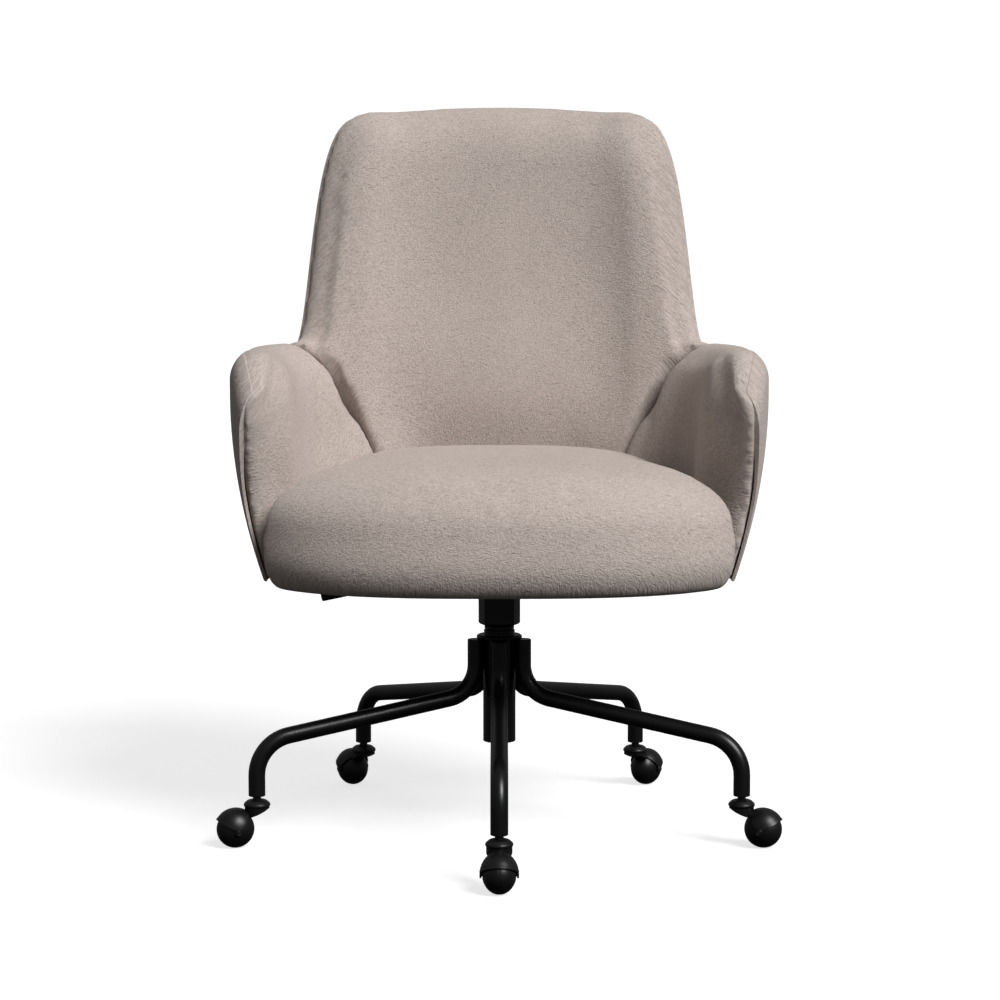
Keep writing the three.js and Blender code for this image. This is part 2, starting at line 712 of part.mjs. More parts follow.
// A panel of the tub between two angles and two depths, with its rim and nose rounded as the whole wall is.
function tubPanel({ from, to, outerDepth, innerDepth, bottom, fullness, columns, rows }) {
  const positions = [];
  const faces = [];
  const crowding = 1.6; // rows lie closer together towards the rim
  const rowSize = 2 * (rows + 1);
  for (let column = 0; column <= columns; column += 1) {
    const angle = from + ((to - from) * column) / columns;
    const half = tubThickness(angle) / 2;
    const nose = Math.max(0, (Math.abs(angle) - (armFront - noseRound)) / noseRound);
    const roundHeight = half * rimStretch(angle);
    const top = rimHeight(angle) - roundHeight * (1 - Math.sqrt(Math.max(0, fullness ** 2 - nose ** 2)));
    const springLine = rimHeight(angle) - roundHeight;
    for (let row = 0; row <= rows; row += 1) {
      const share = row / rows;
      const height = bottom + (top - bottom) * (1 - (1 - share) ** crowding);
      const rise = Math.max(0, height - springLine) / roundHeight;
      const swell = half * Math.sqrt(Math.max(0, 1 - rise ** 2 - nose ** 2));
      const outer = Math.max(outerDepth, half - swell);
      const inner = Math.min(innerDepth ?? 2 * half, half + swell);
      positions.push(...tubPoint(angle, height, outer), ...tubPoint(angle, height, inner));
    }
  }
  const vertex = (column, row, side) => column * rowSize + 2 * row + side;
  const quad = (a, b, c, d) => faces.push(a, b, c, a, c, d);
  for (let column = 0; column < columns; column += 1) {
    const next = column + 1;
    for (let row = 0; row < rows; row += 1) {
      quad(vertex(column, row, 0), vertex(next, row, 0), vertex(next, row + 1, 0), vertex(column, row + 1, 0));
      quad(vertex(column, row + 1, 1), vertex(next, row + 1, 1), vertex(next, row, 1), vertex(column, row, 1));
    }
    quad(vertex(column, 0, 1), vertex(next, 0, 1), vertex(next, 0, 0), vertex(column, 0, 0));
    quad(vertex(column, rows, 0), vertex(next, rows, 0), vertex(next, rows, 1), vertex(column, rows, 1));
  }
  for (let row = 0; row < rows; row += 1) {
    quad(vertex(0, row, 0), vertex(0, row + 1, 0), vertex(0, row + 1, 1), vertex(0, row, 1));
    quad(vertex(columns, row, 1), vertex(columns, row + 1, 1), vertex(columns, row + 1, 0), vertex(columns, row, 0));
  }
  const panel = new THREE.BufferGeometry();
  panel.setAttribute('position', new THREE.Float32BufferAttribute(positions, 3));
  panel.setIndex(faces);
  return panel;
}

// ---------------------------------------------------------------- upholstery

const dustCoverBottom = plateTop + fitGap;
const panBottom = dustCoverBottom + dustCoverThickness + fitGap;
const panTop = panBottom + panThickness;
const padBottom = panTop + fitGap;
const shellEnd = armFront - shellSetback;
const padEnd = armFront - padSetback;
const earStart = armFront - armLean + earDelay;
const earFull = earStart + earTurn;

// Plan radius of the cushion's free front, from the tub's centre line.
function earReach(angle) {
  const side = (Math.abs(Math.sin(angle)) / seatEarHalfWidth) ** seatOutlinePower;
  const front = (Math.abs(Math.cos(angle)) / (seatFront + tubCentreY)) ** seatOutlinePower;
  return (side + front) ** (-1 / seatOutlinePower);
}

function seatReach(angle, height) {
  const turn = Math.abs(angle);
  const between = tubReach(turn, height) - tubThickness(turn) - softGap;
  if (turn <= earStart) return between;
  return THREE.MathUtils.lerp(between, earReach(turn), smoothStep(earStart, earFull, turn));
}

function panReach(angle) {
  const turn = Math.abs(angle);
  const between = tubReach(turn, tubBottom) - shellThickness - 4 * fitGap;
  const front = earReach(turn) - seatWrap;
  return turn <= earStart - earTurn ? between : Math.min(between, front);
}

function polarOutline(reach, count) {
  return Array.from({ length: count }, (_, index) => {
    const angle = -Math.PI + (2 * Math.PI * index) / count;
    return [reach(angle) * Math.sin(angle), tubCentreY + reach(angle) * Math.cos(angle)];
  });
}

// The cushion's profile as [share of the plan radius, inset, height] from its flat underside to its crown.
function cushionProfile() {
  const steps = 4;
  const profile = [];
  for (let step = steps; step >= 0; step -= 1) {
    const angle = (step / steps) * (Math.PI / 2);
    const height = seatWidestHeight - (seatWidestHeight - panBottom) * Math.sin(angle);
    profile.push([1, seatLowerRound * (1 - Math.cos(angle)), height]);
  }
  for (let step = 1; step < steps; step += 1) {
    const angle = (step / steps) * (Math.PI / 2);
    const share = Math.sin(angle) ** seatSquareness;
    const height = seatWidestHeight + (seatCrownHeight - seatWidestHeight) * share;
    profile.push([Math.cos(angle) ** seatSquareness, 0, height]);
  }
  return profile;
}

function makeCushion() {
  const turns = 60;
  const profile = cushionProfile();
  const positions = [0, tubCentreY, panBottom];
  profile.forEach(([share, inset, height]) => {
    for (let index = 0; index < turns; index += 1) {
      const angle = -Math.PI + (2 * Math.PI * (index + 0.5)) / turns;
      const reach = seatReach(angle, height) * share - inset;
      positions.push(reach * Math.sin(angle), tubCentreY + reach * Math.cos(angle), height);
    }
  });
  positions.push(0, tubCentreY, seatCrownHeight);
  const topVertex = profile.length * turns + 1;
  const vertex = (level, index) => 1 + level * turns + (index % turns);
  const faces = [];
  for (let index = 0; index < turns; index += 1) {
    faces.push(0, vertex(0, index), vertex(0, index + 1));
    faces.push(topVertex, vertex(profile.length - 1, index + 1), vertex(profile.length - 1, index));
    for (let level = 0; level < profile.length - 1; level += 1) {
      faces.push(vertex(level, index), vertex(level + 1, index), vertex(level + 1, index + 1));
      faces.push(vertex(level, index), vertex(level + 1, index + 1), vertex(level, index + 1));
    }
  }
  const body = new THREE.BufferGeometry();
  body.setAttribute('position', new THREE.Float32BufferAttribute(positions, 3));
  body.setIndex(faces);
  const room = polarOutline((angle) => panReach(angle) + softGap, 60);
  return cut(body, outlineSlab(room, panBottom - cutMargin, padBottom));
}

const panOutline = polarOutline(panReach, 60);
const coverOutline = polarOutline((angle) => panReach(angle) - dustCoverInset, 48);
const pan = outlineSlab(panOutline, panBottom, panTop);
addPiece(seat, 'seat_pan', cut(pan, ...boltHoles(panBottom - cutMargin, panTop + cutMargin)), plywood);
const dustCover = outlineSlab(coverOutline, dustCoverBottom, dustCoverBottom + dustCoverThickness);
const dustCoverHoles = boltHoles(dustCoverBottom - cutMargin, panTop);
addPiece(seat, 'dust_cover', cut(dustCover, ...dustCoverHoles), lining);
addPiece(seat, 'seat_cushion', makeCushion(), fabric);

addPiece(seat, 'outer_shell', tubPanel({
  from: -shellEnd, to: shellEnd, outerDepth: 0, innerDepth: shellThickness,
  bottom: tubBottom, fullness: 0.72, columns: 40, rows: 7,
}), fabric);
const padDepth = shellThickness + padGap;
const splitGap = 0.1 * degree;
addPiece(seat, 'back_pad', tubPanel({
  from: splitGap - padSplit, to: padSplit - splitGap, outerDepth: padDepth,
  bottom: padBottom, fullness: 0.97, columns: 26, rows: 7,
}), fabric);
[[-1, 'left_arm_pad'], [1, 'right_arm_pad']].forEach(([side, name]) => {
  addPiece(seat, name, tubPanel({
    from: side * (padSplit + splitGap), to: side * padEnd, outerDepth: padDepth,
    bottom: padBottom, fullness: 0.97, columns: 10, rows: 8,
  }), fabric);
});

// ---------------------------------------------------------------- origin under the middle of the chair

const bounds = new THREE.Box3().setFromObject(chair);
chair.position.y = -(bounds.min.y + bounds.max.y) / 2;

export default chair;
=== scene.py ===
# %% [markdown]
# # A swivel office chair, dressed around its working frame
# The frame already holds every tube, axle, bolt and cushion at its real size, as plain faceted solids that
# can move. This lesson gives it its looks: smooth steel tube, moulded nylon castors and upholstery that
# swells as foam does under cloth. Each new piece rides on the body of the frame that carries it, so the
# chair still swivels, rises and rolls. Everything is in metres, with Z up and the chair facing -Y.

# %% Load the frame
import math

import bmesh
import bpy
import numpy as np
from mathutils import Matrix, Vector


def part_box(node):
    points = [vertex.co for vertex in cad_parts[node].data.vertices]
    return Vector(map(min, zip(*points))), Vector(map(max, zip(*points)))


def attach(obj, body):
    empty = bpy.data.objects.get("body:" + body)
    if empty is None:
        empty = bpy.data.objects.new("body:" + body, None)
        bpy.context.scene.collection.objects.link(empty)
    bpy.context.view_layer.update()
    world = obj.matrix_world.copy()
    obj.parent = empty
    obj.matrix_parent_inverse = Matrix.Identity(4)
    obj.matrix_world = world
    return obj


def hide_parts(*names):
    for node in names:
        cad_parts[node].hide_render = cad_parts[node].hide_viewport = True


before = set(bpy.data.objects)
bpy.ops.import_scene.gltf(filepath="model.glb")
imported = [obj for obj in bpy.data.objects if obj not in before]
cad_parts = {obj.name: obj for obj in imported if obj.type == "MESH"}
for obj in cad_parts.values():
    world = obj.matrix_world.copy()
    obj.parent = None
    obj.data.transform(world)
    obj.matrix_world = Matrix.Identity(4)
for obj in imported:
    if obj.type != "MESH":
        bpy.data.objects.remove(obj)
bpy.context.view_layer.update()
MM = 0.001


def middle(node):
    low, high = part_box(node)
    return Vector([(a + b) / 2 for a, b in zip(low, high)])


def top(node):
    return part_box(node)[1][2]


def bottom(node):
    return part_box(node)[0][2]


column = middle("hub_tube")
column_y = column.y

# %% [markdown]
# ## Camera, light and floor
# A long lens, a little above seat height and tipped down by six degrees, keeps the chair's uprights almost
# parallel. The light is a wide soft sun from the front right, with a weak sky that is dimmer below. The
# floor and the backdrop are white cards: they catch shadows but send no light back, so the underside stays
# dark.

# %% Camera
camera_data = bpy.data.cameras.new("camera")
camera_data.lens = 99.5
camera_data.sensor_width = 36
camera = bpy.data.objects.new("camera", camera_data)
camera.location = (0.0009, column_y - 3.678, 0.8273)
camera.rotation_euler = (math.radians(90 - 5.9), 0, 0)
bpy.context.scene.collection.objects.link(camera)
bpy.context.scene.camera = camera
bpy.context.scene.view_settings.view_transform = "Standard"
print("camera looks along +Y from", tuple(round(v, 3) for v in camera.location))

# %% [markdown]
# ## Shader sums written as sums
# A material is easier to read as an expression than as a web of nodes. `Signal` wraps one output socket,
# and plus, minus, times and divide on it add the Math nodes. `Finish` holds one material and makes any
# other node.


# %% Signals and finishes
class Signal:
    """One output socket of a material, usable in arithmetic."""

    def __init__(self, finish, socket):
        self.finish = finish
        self.socket = socket

    def math(self, operation, first, second=None):
        values = {0: first} if second is None else {0: first, 1: second}
        return self.finish.node("ShaderNodeMath", {"operation": operation}, values)

    def __add__(self, other):
        return self.math("ADD", self, other)

    def __radd__(self, other):
        return self.math("ADD", other, self)

    def __sub__(self, other):
        return self.math("SUBTRACT", self, other)

    def __rsub__(self, other):
        return self.math("SUBTRACT", other, self)

    def __mul__(self, other):
        return self.math("MULTIPLY", self, other)

    def __rmul__(self, other):
        return self.math("MULTIPLY", other, self)

    def __truediv__(self, other):
        return self.math("DIVIDE", self, other)


class Finish:
    """A material whose shader takes constants on its own sockets, and signals where the surface varies."""

    def __init__(self, name, **constants):
        self.material = bpy.data.materials.new(name)
        self.material.use_nodes = True
        self.tree = self.material.node_tree
        self.shader = next(n for n in self.tree.nodes if n.type == "BSDF_PRINCIPLED")
        for socket, value in constants.items():
            self.shader.inputs[socket.replace("_", " ")].default_value = value

    def node(self, kind, settings=None, values=None, output=0):
        made = self.tree.nodes.new(kind)
        for key, value in (settings or {}).items():
            setattr(made, key, value)
        for key, value in (values or {}).items():
            if isinstance(value, Signal):
                self.tree.links.new(value.socket, made.inputs[key])
            else:
                made.inputs[key].default_value = value
        return Signal(self, made.outputs[output])

    def split(self, vector):
        parts = self.tree.nodes.new("ShaderNodeSeparateXYZ")
        self.tree.links.new(vector.socket, parts.inputs[0])
        return [Signal(self, parts.outputs[i]) for i in range(3)]

    def vector(self, x, y, z=0.0):
        return self.node("ShaderNodeCombineXYZ", None, {0: x, 1: y, 2: z})

    def object_point(self):
        return self.node("ShaderNodeTexCoord", output="Object")

    def noise(self, point, scale=1.0, detail=2.0, roughness=0.5):
        values = {"Vector": point, "Scale": scale, "Detail": detail, "Roughness": roughness}
        return self.node("ShaderNodeTexNoise", None, values)

    def blend(self, share, first, second):
        made = self.tree.nodes.new("ShaderNodeMix")
        made.data_type = "RGBA"
        for index, value in ((0, share), (6, first), (7, second)):
            if isinstance(value, Signal):
                self.tree.links.new(value.socket, made.inputs[index])
            else:
                made.inputs[index].default_value = value
        return Signal(self, made.outputs[2])

    def ramp(self, share, low, high):
        values = {0: share, 1: low, 2: high, 3: 0.0, 4: 1.0}
        return self.node("ShaderNodeMapRange", {"interpolation_type": "SMOOTHSTEP"}, values)

    def feed(self, socket, signal):
        self.tree.links.new(signal.socket, self.shader.inputs[socket])

    def bump(self, height, distance, strength=1.0):
        values = {"Height": height, "Distance": distance, "Strength": strength}
        self.feed("Normal", self.node("ShaderNodeBump", None, values))


def rgb(red, green, blue):
    return (red, green, blue, 1.0)


print("finishes can be written as sums")

# %% [markdown]
# ## Light, floor and backdrop
# The sun is wide, so its shadows are soft. The sky is a plain ramp on the direction's height.

# %% Light, floor and backdrop
SUN_STRENGTH = 3.6
SUN_SPREAD = 28
SUN_DIRECTION = (-0.497, 0.552, -0.669)
SKY_ABOVE, SKY_BELOW = 0.26, 0.02
SKY_RAMP_LOW, SKY_RAMP_HIGH = -0.6, 0.7
FLOOR_TONE, FLOOR_GLOW, FLOOR_REACH = 0.42, 0.73, 30
BACKDROP_GLOW, BACKDROP_Y, BACKDROP_REACH, BACKDROP_TOP = 1.05, 14, 20, 12


def add_sun(name, strength, angle, towards):
    light = bpy.data.lights.new(name, "SUN")
    light.energy = strength
    light.angle = math.radians(angle)
    holder = bpy.data.objects.new(name, light)
    holder.rotation_euler = Vector(towards).to_track_quat("-Z", "Y").to_euler()
    bpy.context.scene.collection.objects.link(holder)


def add_card(name, corners, brightness, glow):
    mesh = bpy.data.meshes.new(name)
    mesh.from_pydata(corners, [], [(0, 1, 2, 3)])
    card = bpy.data.objects.new(name, mesh)
    bpy.context.scene.collection.objects.link(card)
    paint = Finish(name + "_paint", Base_Color=rgb(brightness, brightness, brightness), Roughness=0.9)
    paint.shader.inputs["Specular IOR Level"].default_value = 0.0
    paint.shader.inputs["Emission Color"].default_value = rgb(1, 1, 1)
    paint.shader.inputs["Emission Strength"].default_value = glow
    mesh.materials.append(paint.material)
    card.visible_diffuse = False
    card.visible_glossy = False


world = bpy.data.worlds.new("studio_sky")
bpy.context.scene.world = world
world.use_nodes = True
sky_nodes = world.node_tree.nodes
sky_links = world.node_tree.links
sky_direction = sky_nodes.new("ShaderNodeTexCoord")
sky_height = sky_nodes.new("ShaderNodeSeparateXYZ")
sky_level = sky_nodes.new("ShaderNodeMapRange")
for socket, value in ((1, SKY_RAMP_LOW), (2, SKY_RAMP_HIGH), (3, SKY_BELOW), (4, SKY_ABOVE)):
    sky_level.inputs[socket].default_value = value
sky_links.new(sky_direction.outputs["Generated"], sky_height.inputs[0])
sky_links.new(sky_height.outputs["Z"], sky_level.inputs[0])
sky_links.new(sky_level.outputs[0], sky_nodes["Background"].inputs["Strength"])
sky_nodes["Background"].inputs["Color"].default_value = rgb(1, 1, 1)
add_sun("key_sun", SUN_STRENGTH, SUN_SPREAD, SUN_DIRECTION)
floor_corners = [(x * FLOOR_REACH, y * FLOOR_REACH, 0) for x, y in ((-1, -1), (1, -1), (1, 1), (-1, 1))]
backdrop_corners = [(x * BACKDROP_REACH, BACKDROP_Y, z * BACKDROP_TOP)
                    for x, z in ((-1, 0), (1, 0), (1, 1), (-1, 1))]
add_card("floor", floor_corners, FLOOR_TONE, FLOOR_GLOW)
add_card("backdrop", backdrop_corners, 0.0, BACKDROP_GLOW)
print("one soft sun, a sky of", SKY_BELOW, "to", SKY_ABOVE, "and two white cards")

# %% [markdown]
# ## Shapes as points and faces
# Every maker below returns a shape, a pair of points and faces, so that shapes can be turned, moved and
# joined before one mesh is made of them. Profiles are turned on a lathe about Z, with their corners rounded
# first, because a real edge always catches a thin line of light.


# %% Shape makers
def rounded(profile, radius, steps=4):
    """Replaces each inner corner of a profile by a small curve."""
    corners = [Vector(point) for point in profile]
    path = [corners[0]]
    for before, corner, after in zip(corners, corners[1:], corners[2:]):
        reach = min(radius, (before - corner).length / 2, (after - corner).length / 2)
        start = corner + (before - corner).normalized() * reach
        end = corner + (after - corner).normalized() * reach
        for step in range(steps + 1):
            t = step / steps
            path.append(start.lerp(corner, t).lerp(corner.lerp(end, t), t))
    return path + [corners[-1]]


def grid_faces(rows, columns, wrap=False):
    """Quads over a grid of points stored row by row; wrap joins the last column to the first."""
    last = columns if wrap else columns - 1
    faces = []
    for row in range(rows - 1):
        for column in range(last):
            beside = (column + 1) % columns
            faces.append((row * columns + column, row * columns + beside,
                          (row + 1) * columns + beside, (row + 1) * columns + column))
    return faces


def turned(profile, segments=48):
    """Turns (radius, height) pairs about Z."""
    points = []
    for radius, height in profile:
        for index in range(segments):
            angle = 2 * math.pi * index / segments
            points.append((radius * math.cos(angle), radius * math.sin(angle), height))
    return points, grid_faces(len(profile), segments, wrap=True)


def placed(shape, matrix):
    points, faces = shape
    return [tuple(matrix @ Vector(point)) for point in points], faces


def joined(*shapes):
    points, faces = [], []
    for more_points, more_faces in shapes:
        start = len(points)
        points += list(more_points)
        faces += [tuple(start + corner for corner in face) for face in more_faces]
    return points, faces


def finish_mesh(piece, finish, crease=35):
    mesh = piece.data
    mesh.polygons.foreach_set("use_smooth", [True] * len(mesh.polygons))
    mesh.set_sharp_from_angle(angle=math.radians(crease))
    mesh.materials.clear()
    mesh.materials.append(finish.material)


def ease_edges(piece, width):
    edge = piece.modifiers.new("edge", "BEVEL")
    edge.width = width
    edge.segments = 2
    edge.limit_method = "ANGLE"
    edge.angle_limit = math.radians(50)


def add_piece(name, shape, finish, body, replaces, bevel=0.0):
    """Makes a piece of a shape: corners merged, faces outward, riding on its body."""
    points, faces = shape
    work = bmesh.new()
    corners = [work.verts.new(point) for point in points]
    for face in faces:
        work.faces.new([corners[index] for index in face])
    bmesh.ops.remove_doubles(work, verts=work.verts, dist=1e-6)
    bmesh.ops.recalc_face_normals(work, faces=work.faces)
    mesh = bpy.data.meshes.new(name)
    work.to_mesh(mesh)
    work.free()
    piece = bpy.data.objects.new(name, mesh)
    bpy.context.scene.collection.objects.link(piece)
    finish_mesh(piece, finish)
    if bevel:
        ease_edges(piece, bevel)
    carry(piece, body, replaces)
    return piece


def carry(piece, body, replaces):
    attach(piece, body)
    if replaces:
        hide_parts(*replaces)


on_column = Matrix.Translation((column.x, column_y, 0))
print("shape makers are ready")

# %% [markdown]
# ## Hard finishes
# The steel is powder coated: a thin, slightly pebbled black skin that is satin rather than glossy. The
# castors and the covers are moulded nylon, a little browner and finer. Hidden parts are bare zinc, rubber,
# birch plywood and black lining cloth. Each finish varies a little in colour or roughness, because no real
# surface is even.


# %% Black finishes
def black_finish(name, tone, roughness, pebble, depth):
    skin = Finish(name, Metallic=0.0, Specular_IOR_Level=0.36)
    point = skin.object_point()
    cloud = skin.noise(point, scale=22, detail=3)
    skin.feed("Base Color", skin.blend(cloud, rgb(*[0.7 * c for c in tone]), rgb(*[1.3 * c for c in tone])))
    skin.feed("Roughness", roughness - 0.05 + 0.1 * cloud)
    skin.bump(skin.noise(point, scale=pebble, detail=2), distance=depth, strength=0.35)
    return skin


powder_coat = black_finish("black_powder_coat", (0.0028, 0.0028, 0.0031), 0.33, 900, 0.0002)
nylon = black_finish("black_nylon", (0.004, 0.0039, 0.0038), 0.38, 1600, 0.00015)
rubber = black_finish("black_rubber", (0.012, 0.012, 0.012), 0.75, 700, 0.0002)
blackened = black_finish("blackened_steel", (0.012, 0.012, 0.013), 0.3, 2400, 0.0001)
print("black finishes:", powder_coat.material.name, nylon.material.name, rubber.material.name)


# %% Zinc, plywood and lining
def zinc_finish():
    zinc = Finish("bright_zinc", Metallic=1.0)
    cloud = zinc.noise(zinc.object_point(), scale=120, detail=4)
    zinc.feed("Base Color", zinc.blend(cloud, rgb(0.36, 0.37, 0.38), rgb(0.55, 0.56, 0.57)))
    zinc.feed("Roughness", 0.24 + 0.16 * cloud)
    return zinc


def plywood_finish():
    board = Finish("birch_plywood", Roughness=0.6)
    x, y, z = board.split(board.object_point())
    drift = board.noise(board.vector(x * 3, y * 14, z * 3), detail=3)
    grain = board.noise(board.vector(x * 9 + drift, y * 160 + drift * 6, z * 40), detail=4)
    board.feed("Base Color", board.blend(grain, rgb(0.34, 0.2, 0.1), rgb(0.62, 0.43, 0.25)))
    board.bump(grain, distance=0.0003, strength=0.3)
    return board


def lining_finish():
    cloth = Finish("black_lining", Roughness=0.9, Specular_IOR_Level=0.2)
    x, y, z = cloth.split(cloth.object_point())
    fibre = cloth.noise(cloth.vector(x * 260, y * 900, z), detail=3)
    cloth.feed("Base Color", cloth.blend(fibre, rgb(0.008, 0.008, 0.009), rgb(0.028, 0.028, 0.03)))
    cloth.bump(fibre, distance=0.0003, strength=0.5)
    return cloth


zinc = zinc_finish()
plywood = plywood_finish()
lining = lining_finish()
kept_nodes = {
    "retaining_clip": zinc, "thrust_bearing": zinc, "release_pin": zinc, "lever_pivot_pin": zinc,
    "piston_rod": zinc, "bump_stop": rubber, "mechanism_housing": powder_coat, "seat_plate": powder_coat,
    "seat_pan": plywood, "dust_cover": lining,
}
kept_nodes.update({f"castor_socket_{n}": nylon for n in range(1, 6)})
kept_nodes.update({f"castor_stem_{n}": blackened for n in range(1, 6)})
for node, finish in kept_nodes.items():
    slots = bpy.data.objects[node].data.materials
    slots.clear()
    slots.append(finish.material)
print(len(kept_nodes), "parts of the frame keep their shape and get a finish")

# %% [markdown]
# ## Legs
# Each leg is one steel tube, bent twice: out from the hub and down to its castor. A tube that follows a
# path is what Geometry Nodes do well, so one node tree turns four corner points into a filleted curve and
# sweeps a circle along it. The first bend is tighter than the second, so the fillet radius is chosen by the
# corner's index.


# %% Bent tube tree
def bent_tube_tree():
    tree = bpy.data.node_groups.new("bent_tube", "GeometryNodeTree")
    tree.is_modifier = True
    add = tree.interface.new_socket
    add("Geometry", in_out="INPUT", socket_type="NodeSocketGeometry")
    for name in ("Tube Radius", "First Bend", "Second Bend"):
        add(name, in_out="INPUT", socket_type="NodeSocketFloat")
    add("Finish", in_out="INPUT", socket_type="NodeSocketMaterial")
    add("Geometry", in_out="OUTPUT", socket_type="NodeSocketGeometry")
    nodes = {}

    def node(key, kind, **settings):
        nodes[key] = tree.nodes.new(kind)
        for name, value in settings.items():
            setattr(nodes[key], name, value)
        return nodes[key]

    def link(source, output, target, socket):
        tree.links.new(nodes[source].outputs[output], nodes[target].inputs[socket])

    node("in", "NodeGroupInput")
    node("path", "GeometryNodeMeshToCurve")
    node("index", "GeometryNodeInputIndex")
    node("is_first", "FunctionNodeCompare", data_type="INT", operation="LESS_THAN")
    nodes["is_first"].inputs[3].default_value = 2
    node("radius", "GeometryNodeSwitch", input_type="FLOAT")
    node("fillet", "GeometryNodeFilletCurve", mode="POLY")
    nodes["fillet"].inputs["Count"].default_value = 14
    node("section", "GeometryNodeCurvePrimitiveCircle")
    nodes["section"].inputs["Resolution"].default_value = 32
    node("sweep", "GeometryNodeCurveToMesh")
    nodes["sweep"].inputs["Fill Caps"].default_value = True
    node("realize", "GeometryNodeRealizeInstances")
    node("paint", "GeometryNodeSetMaterial")
    node("out", "NodeGroupOutput")
    link("in", "Geometry", "path", "Mesh")
    link("index", 0, "is_first", 2)
    link("is_first", 0, "radius", "Switch")
    link("in", "Second Bend", "radius", "False")
    link("in", "First Bend", "radius", "True")
    link("path", 0, "fillet", "Curve")
    link("radius", 0, "fillet", "Radius")
    link("in", "Tube Radius", "section", "Radius")
    link("fillet", 0, "sweep", "Curve")
    link("section", 0, "sweep", "Profile Curve")
    link("sweep", 0, "realize", 0)
    link("realize", 0, "paint", "Geometry")
    link("in", "Finish", "paint", "Material")
    link("paint", 0, "out", 0)
    return tree


def run_tree(name, tree, source, finish, **inputs):
    """Runs a node tree on a source mesh and returns the result as a plain object."""
    mesh = bpy.data.meshes.new(name)
    mesh.from_pydata(*source)
    piece = bpy.data.objects.new(name, mesh)
    bpy.context.scene.collection.objects.link(piece)
    modifier = piece.modifiers.new("shape", "NODES")
    modifier.node_group = tree
    inputs["Finish"] = finish.material
    for item in tree.interface.items_tree:
        if item.in_out == "INPUT" and item.name in inputs:
            modifier[item.identifier] = inputs[item.name]
    evaluated = piece.evaluated_get(bpy.context.evaluated_depsgraph_get())
    result = bpy.data.meshes.new_from_object(evaluated)
    piece.modifiers.remove(modifier)
    piece.data = result
    finish_mesh(piece, finish)
    return piece


def bent_tube(name, corners, radius, bends, finish):
    path = (corners, [(i, i + 1) for i in range(len(corners) - 1)], [])
    return run_tree(name, bent_tube_tree_once, path, finish,
                    **{"Tube Radius": radius, "First Bend": bends[0], "Second Bend": bends[1]})


bent_tube_tree_once = bent_tube_tree()
print("the bent tube tree has", len(bent_tube_tree_once.nodes), "nodes")

# %% Five legs
LEG_COUNT = 5
LEG_TUBE = 11.1 * MM
LEG_SPREAD = 335 * MM
LEG_FALL = math.tan(math.radians(9.5))
RUN_HEIGHT = 188.3 * MM
LEG_BENDS = (45 * MM, 52 * MM)
LEG_END_EASE = 0.9 * MM

upright_radius = column_y - (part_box("leg_1")[1][1] - LEG_TUBE)
leg_corners = [
    (upright_radius, 0, top("leg_1")), (upright_radius, 0, RUN_HEIGHT),
    (LEG_SPREAD, 0, RUN_HEIGHT - (LEG_SPREAD - upright_radius) * LEG_FALL), (LEG_SPREAD, 0, bottom("leg_1")),
]


def leg_place(number):
    """The frame of a leg: its X points out along the leg."""
    turn = -math.pi / 2 + 2 * math.pi * (number - 1) / LEG_COUNT
    return on_column @ Matrix.Rotation(turn, 4, "Z")


for number in range(1, LEG_COUNT + 1):
    place = leg_place(number)
    corners = [tuple(place @ Vector(corner)) for corner in leg_corners]
    leg = bent_tube(f"leg_tube_{number}", corners, LEG_TUBE, LEG_BENDS, powder_coat)
    ease_edges(leg, LEG_END_EASE)
    carry(leg, "base", [f"leg_{number}"])
print(LEG_COUNT, "legs, uprights at", round(upright_radius * 1000, 1), "mm from the axis")

# %% [markdown]
# ## Hub and gas lift
# The hub is a thick tube that the five uprights are welded round, with a domed ring on top. A nylon bushing
# guides the gas cylinder, and an eight-sided cover hides where the cylinder enters the seat mechanism. All
# are round parts, so all are turned from rounded profiles, and the cover is turned with only eight
# segments.


# %% Hub, ring, bushing, cylinder and cover
def node_radius(node):
    low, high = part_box(node)
    return (high[0] - low[0]) / 2


def stem_profile(radius, low, high, corner):
    return rounded([(0, low), (radius, low), (radius, high), (0, high)], corner)


HUB_BORE, RING_SHOULDER = 19.6 * MM, 24 * MM
ROD_HOLE, STAND_BORE, STAND_FLOOR = 5.3 * MM, 16.8 * MM, 3 * MM
BUSHING_BORE, BUSHING_SLEEVE, BUSHING_REACH, BUSHING_SEAT = 14.3 * MM, 16.5 * MM, 70 * MM, 0.3 * MM
COVER_BORE, COVER_CHAMFER, COVER_SIDES = 19.1 * MM, 2.4 * MM, 8

hub_radius = node_radius("hub_tube")
hub_low, hub_high = bottom("hub_tube"), top("hub_tube")
ring_radius = node_radius("hub_flange")
ring_low, ring_high = bottom("hub_flange"), top("hub_flange")
add_piece("hub_sleeve", placed(turned(rounded([
    (HUB_BORE, hub_low + 4 * MM), (HUB_BORE, hub_low), (hub_radius, hub_low), (hub_radius, hub_high),
    (HUB_BORE, hub_high), (HUB_BORE, hub_low + 4 * MM),
], 1.4 * MM)), on_column), powder_coat, "base", ["hub_tube"])
add_piece("hub_ring", placed(turned(rounded([
    (HUB_BORE, ring_low), (ring_radius, ring_low), (ring_radius, ring_high), (RING_SHOULDER, ring_high),
    (HUB_BORE, ring_high), (HUB_BORE, ring_low),
], 2.4 * MM)), on_column), powder_coat, "base", ["hub_flange"])
stand_radius = node_radius("stand_tube")
stand_low, stand_high = bottom("stand_tube"), top("stand_tube")
add_piece("stand_sleeve", placed(turned(rounded([
    (ROD_HOLE, stand_low), (stand_radius, stand_low), (stand_radius, stand_high), (STAND_BORE, stand_high),
    (STAND_BORE, stand_low + STAND_FLOOR), (ROD_HOLE, stand_low + STAND_FLOOR), (ROD_HOLE, stand_low),
], 0.8 * MM)), on_column), powder_coat, "base", ["stand_tube"])
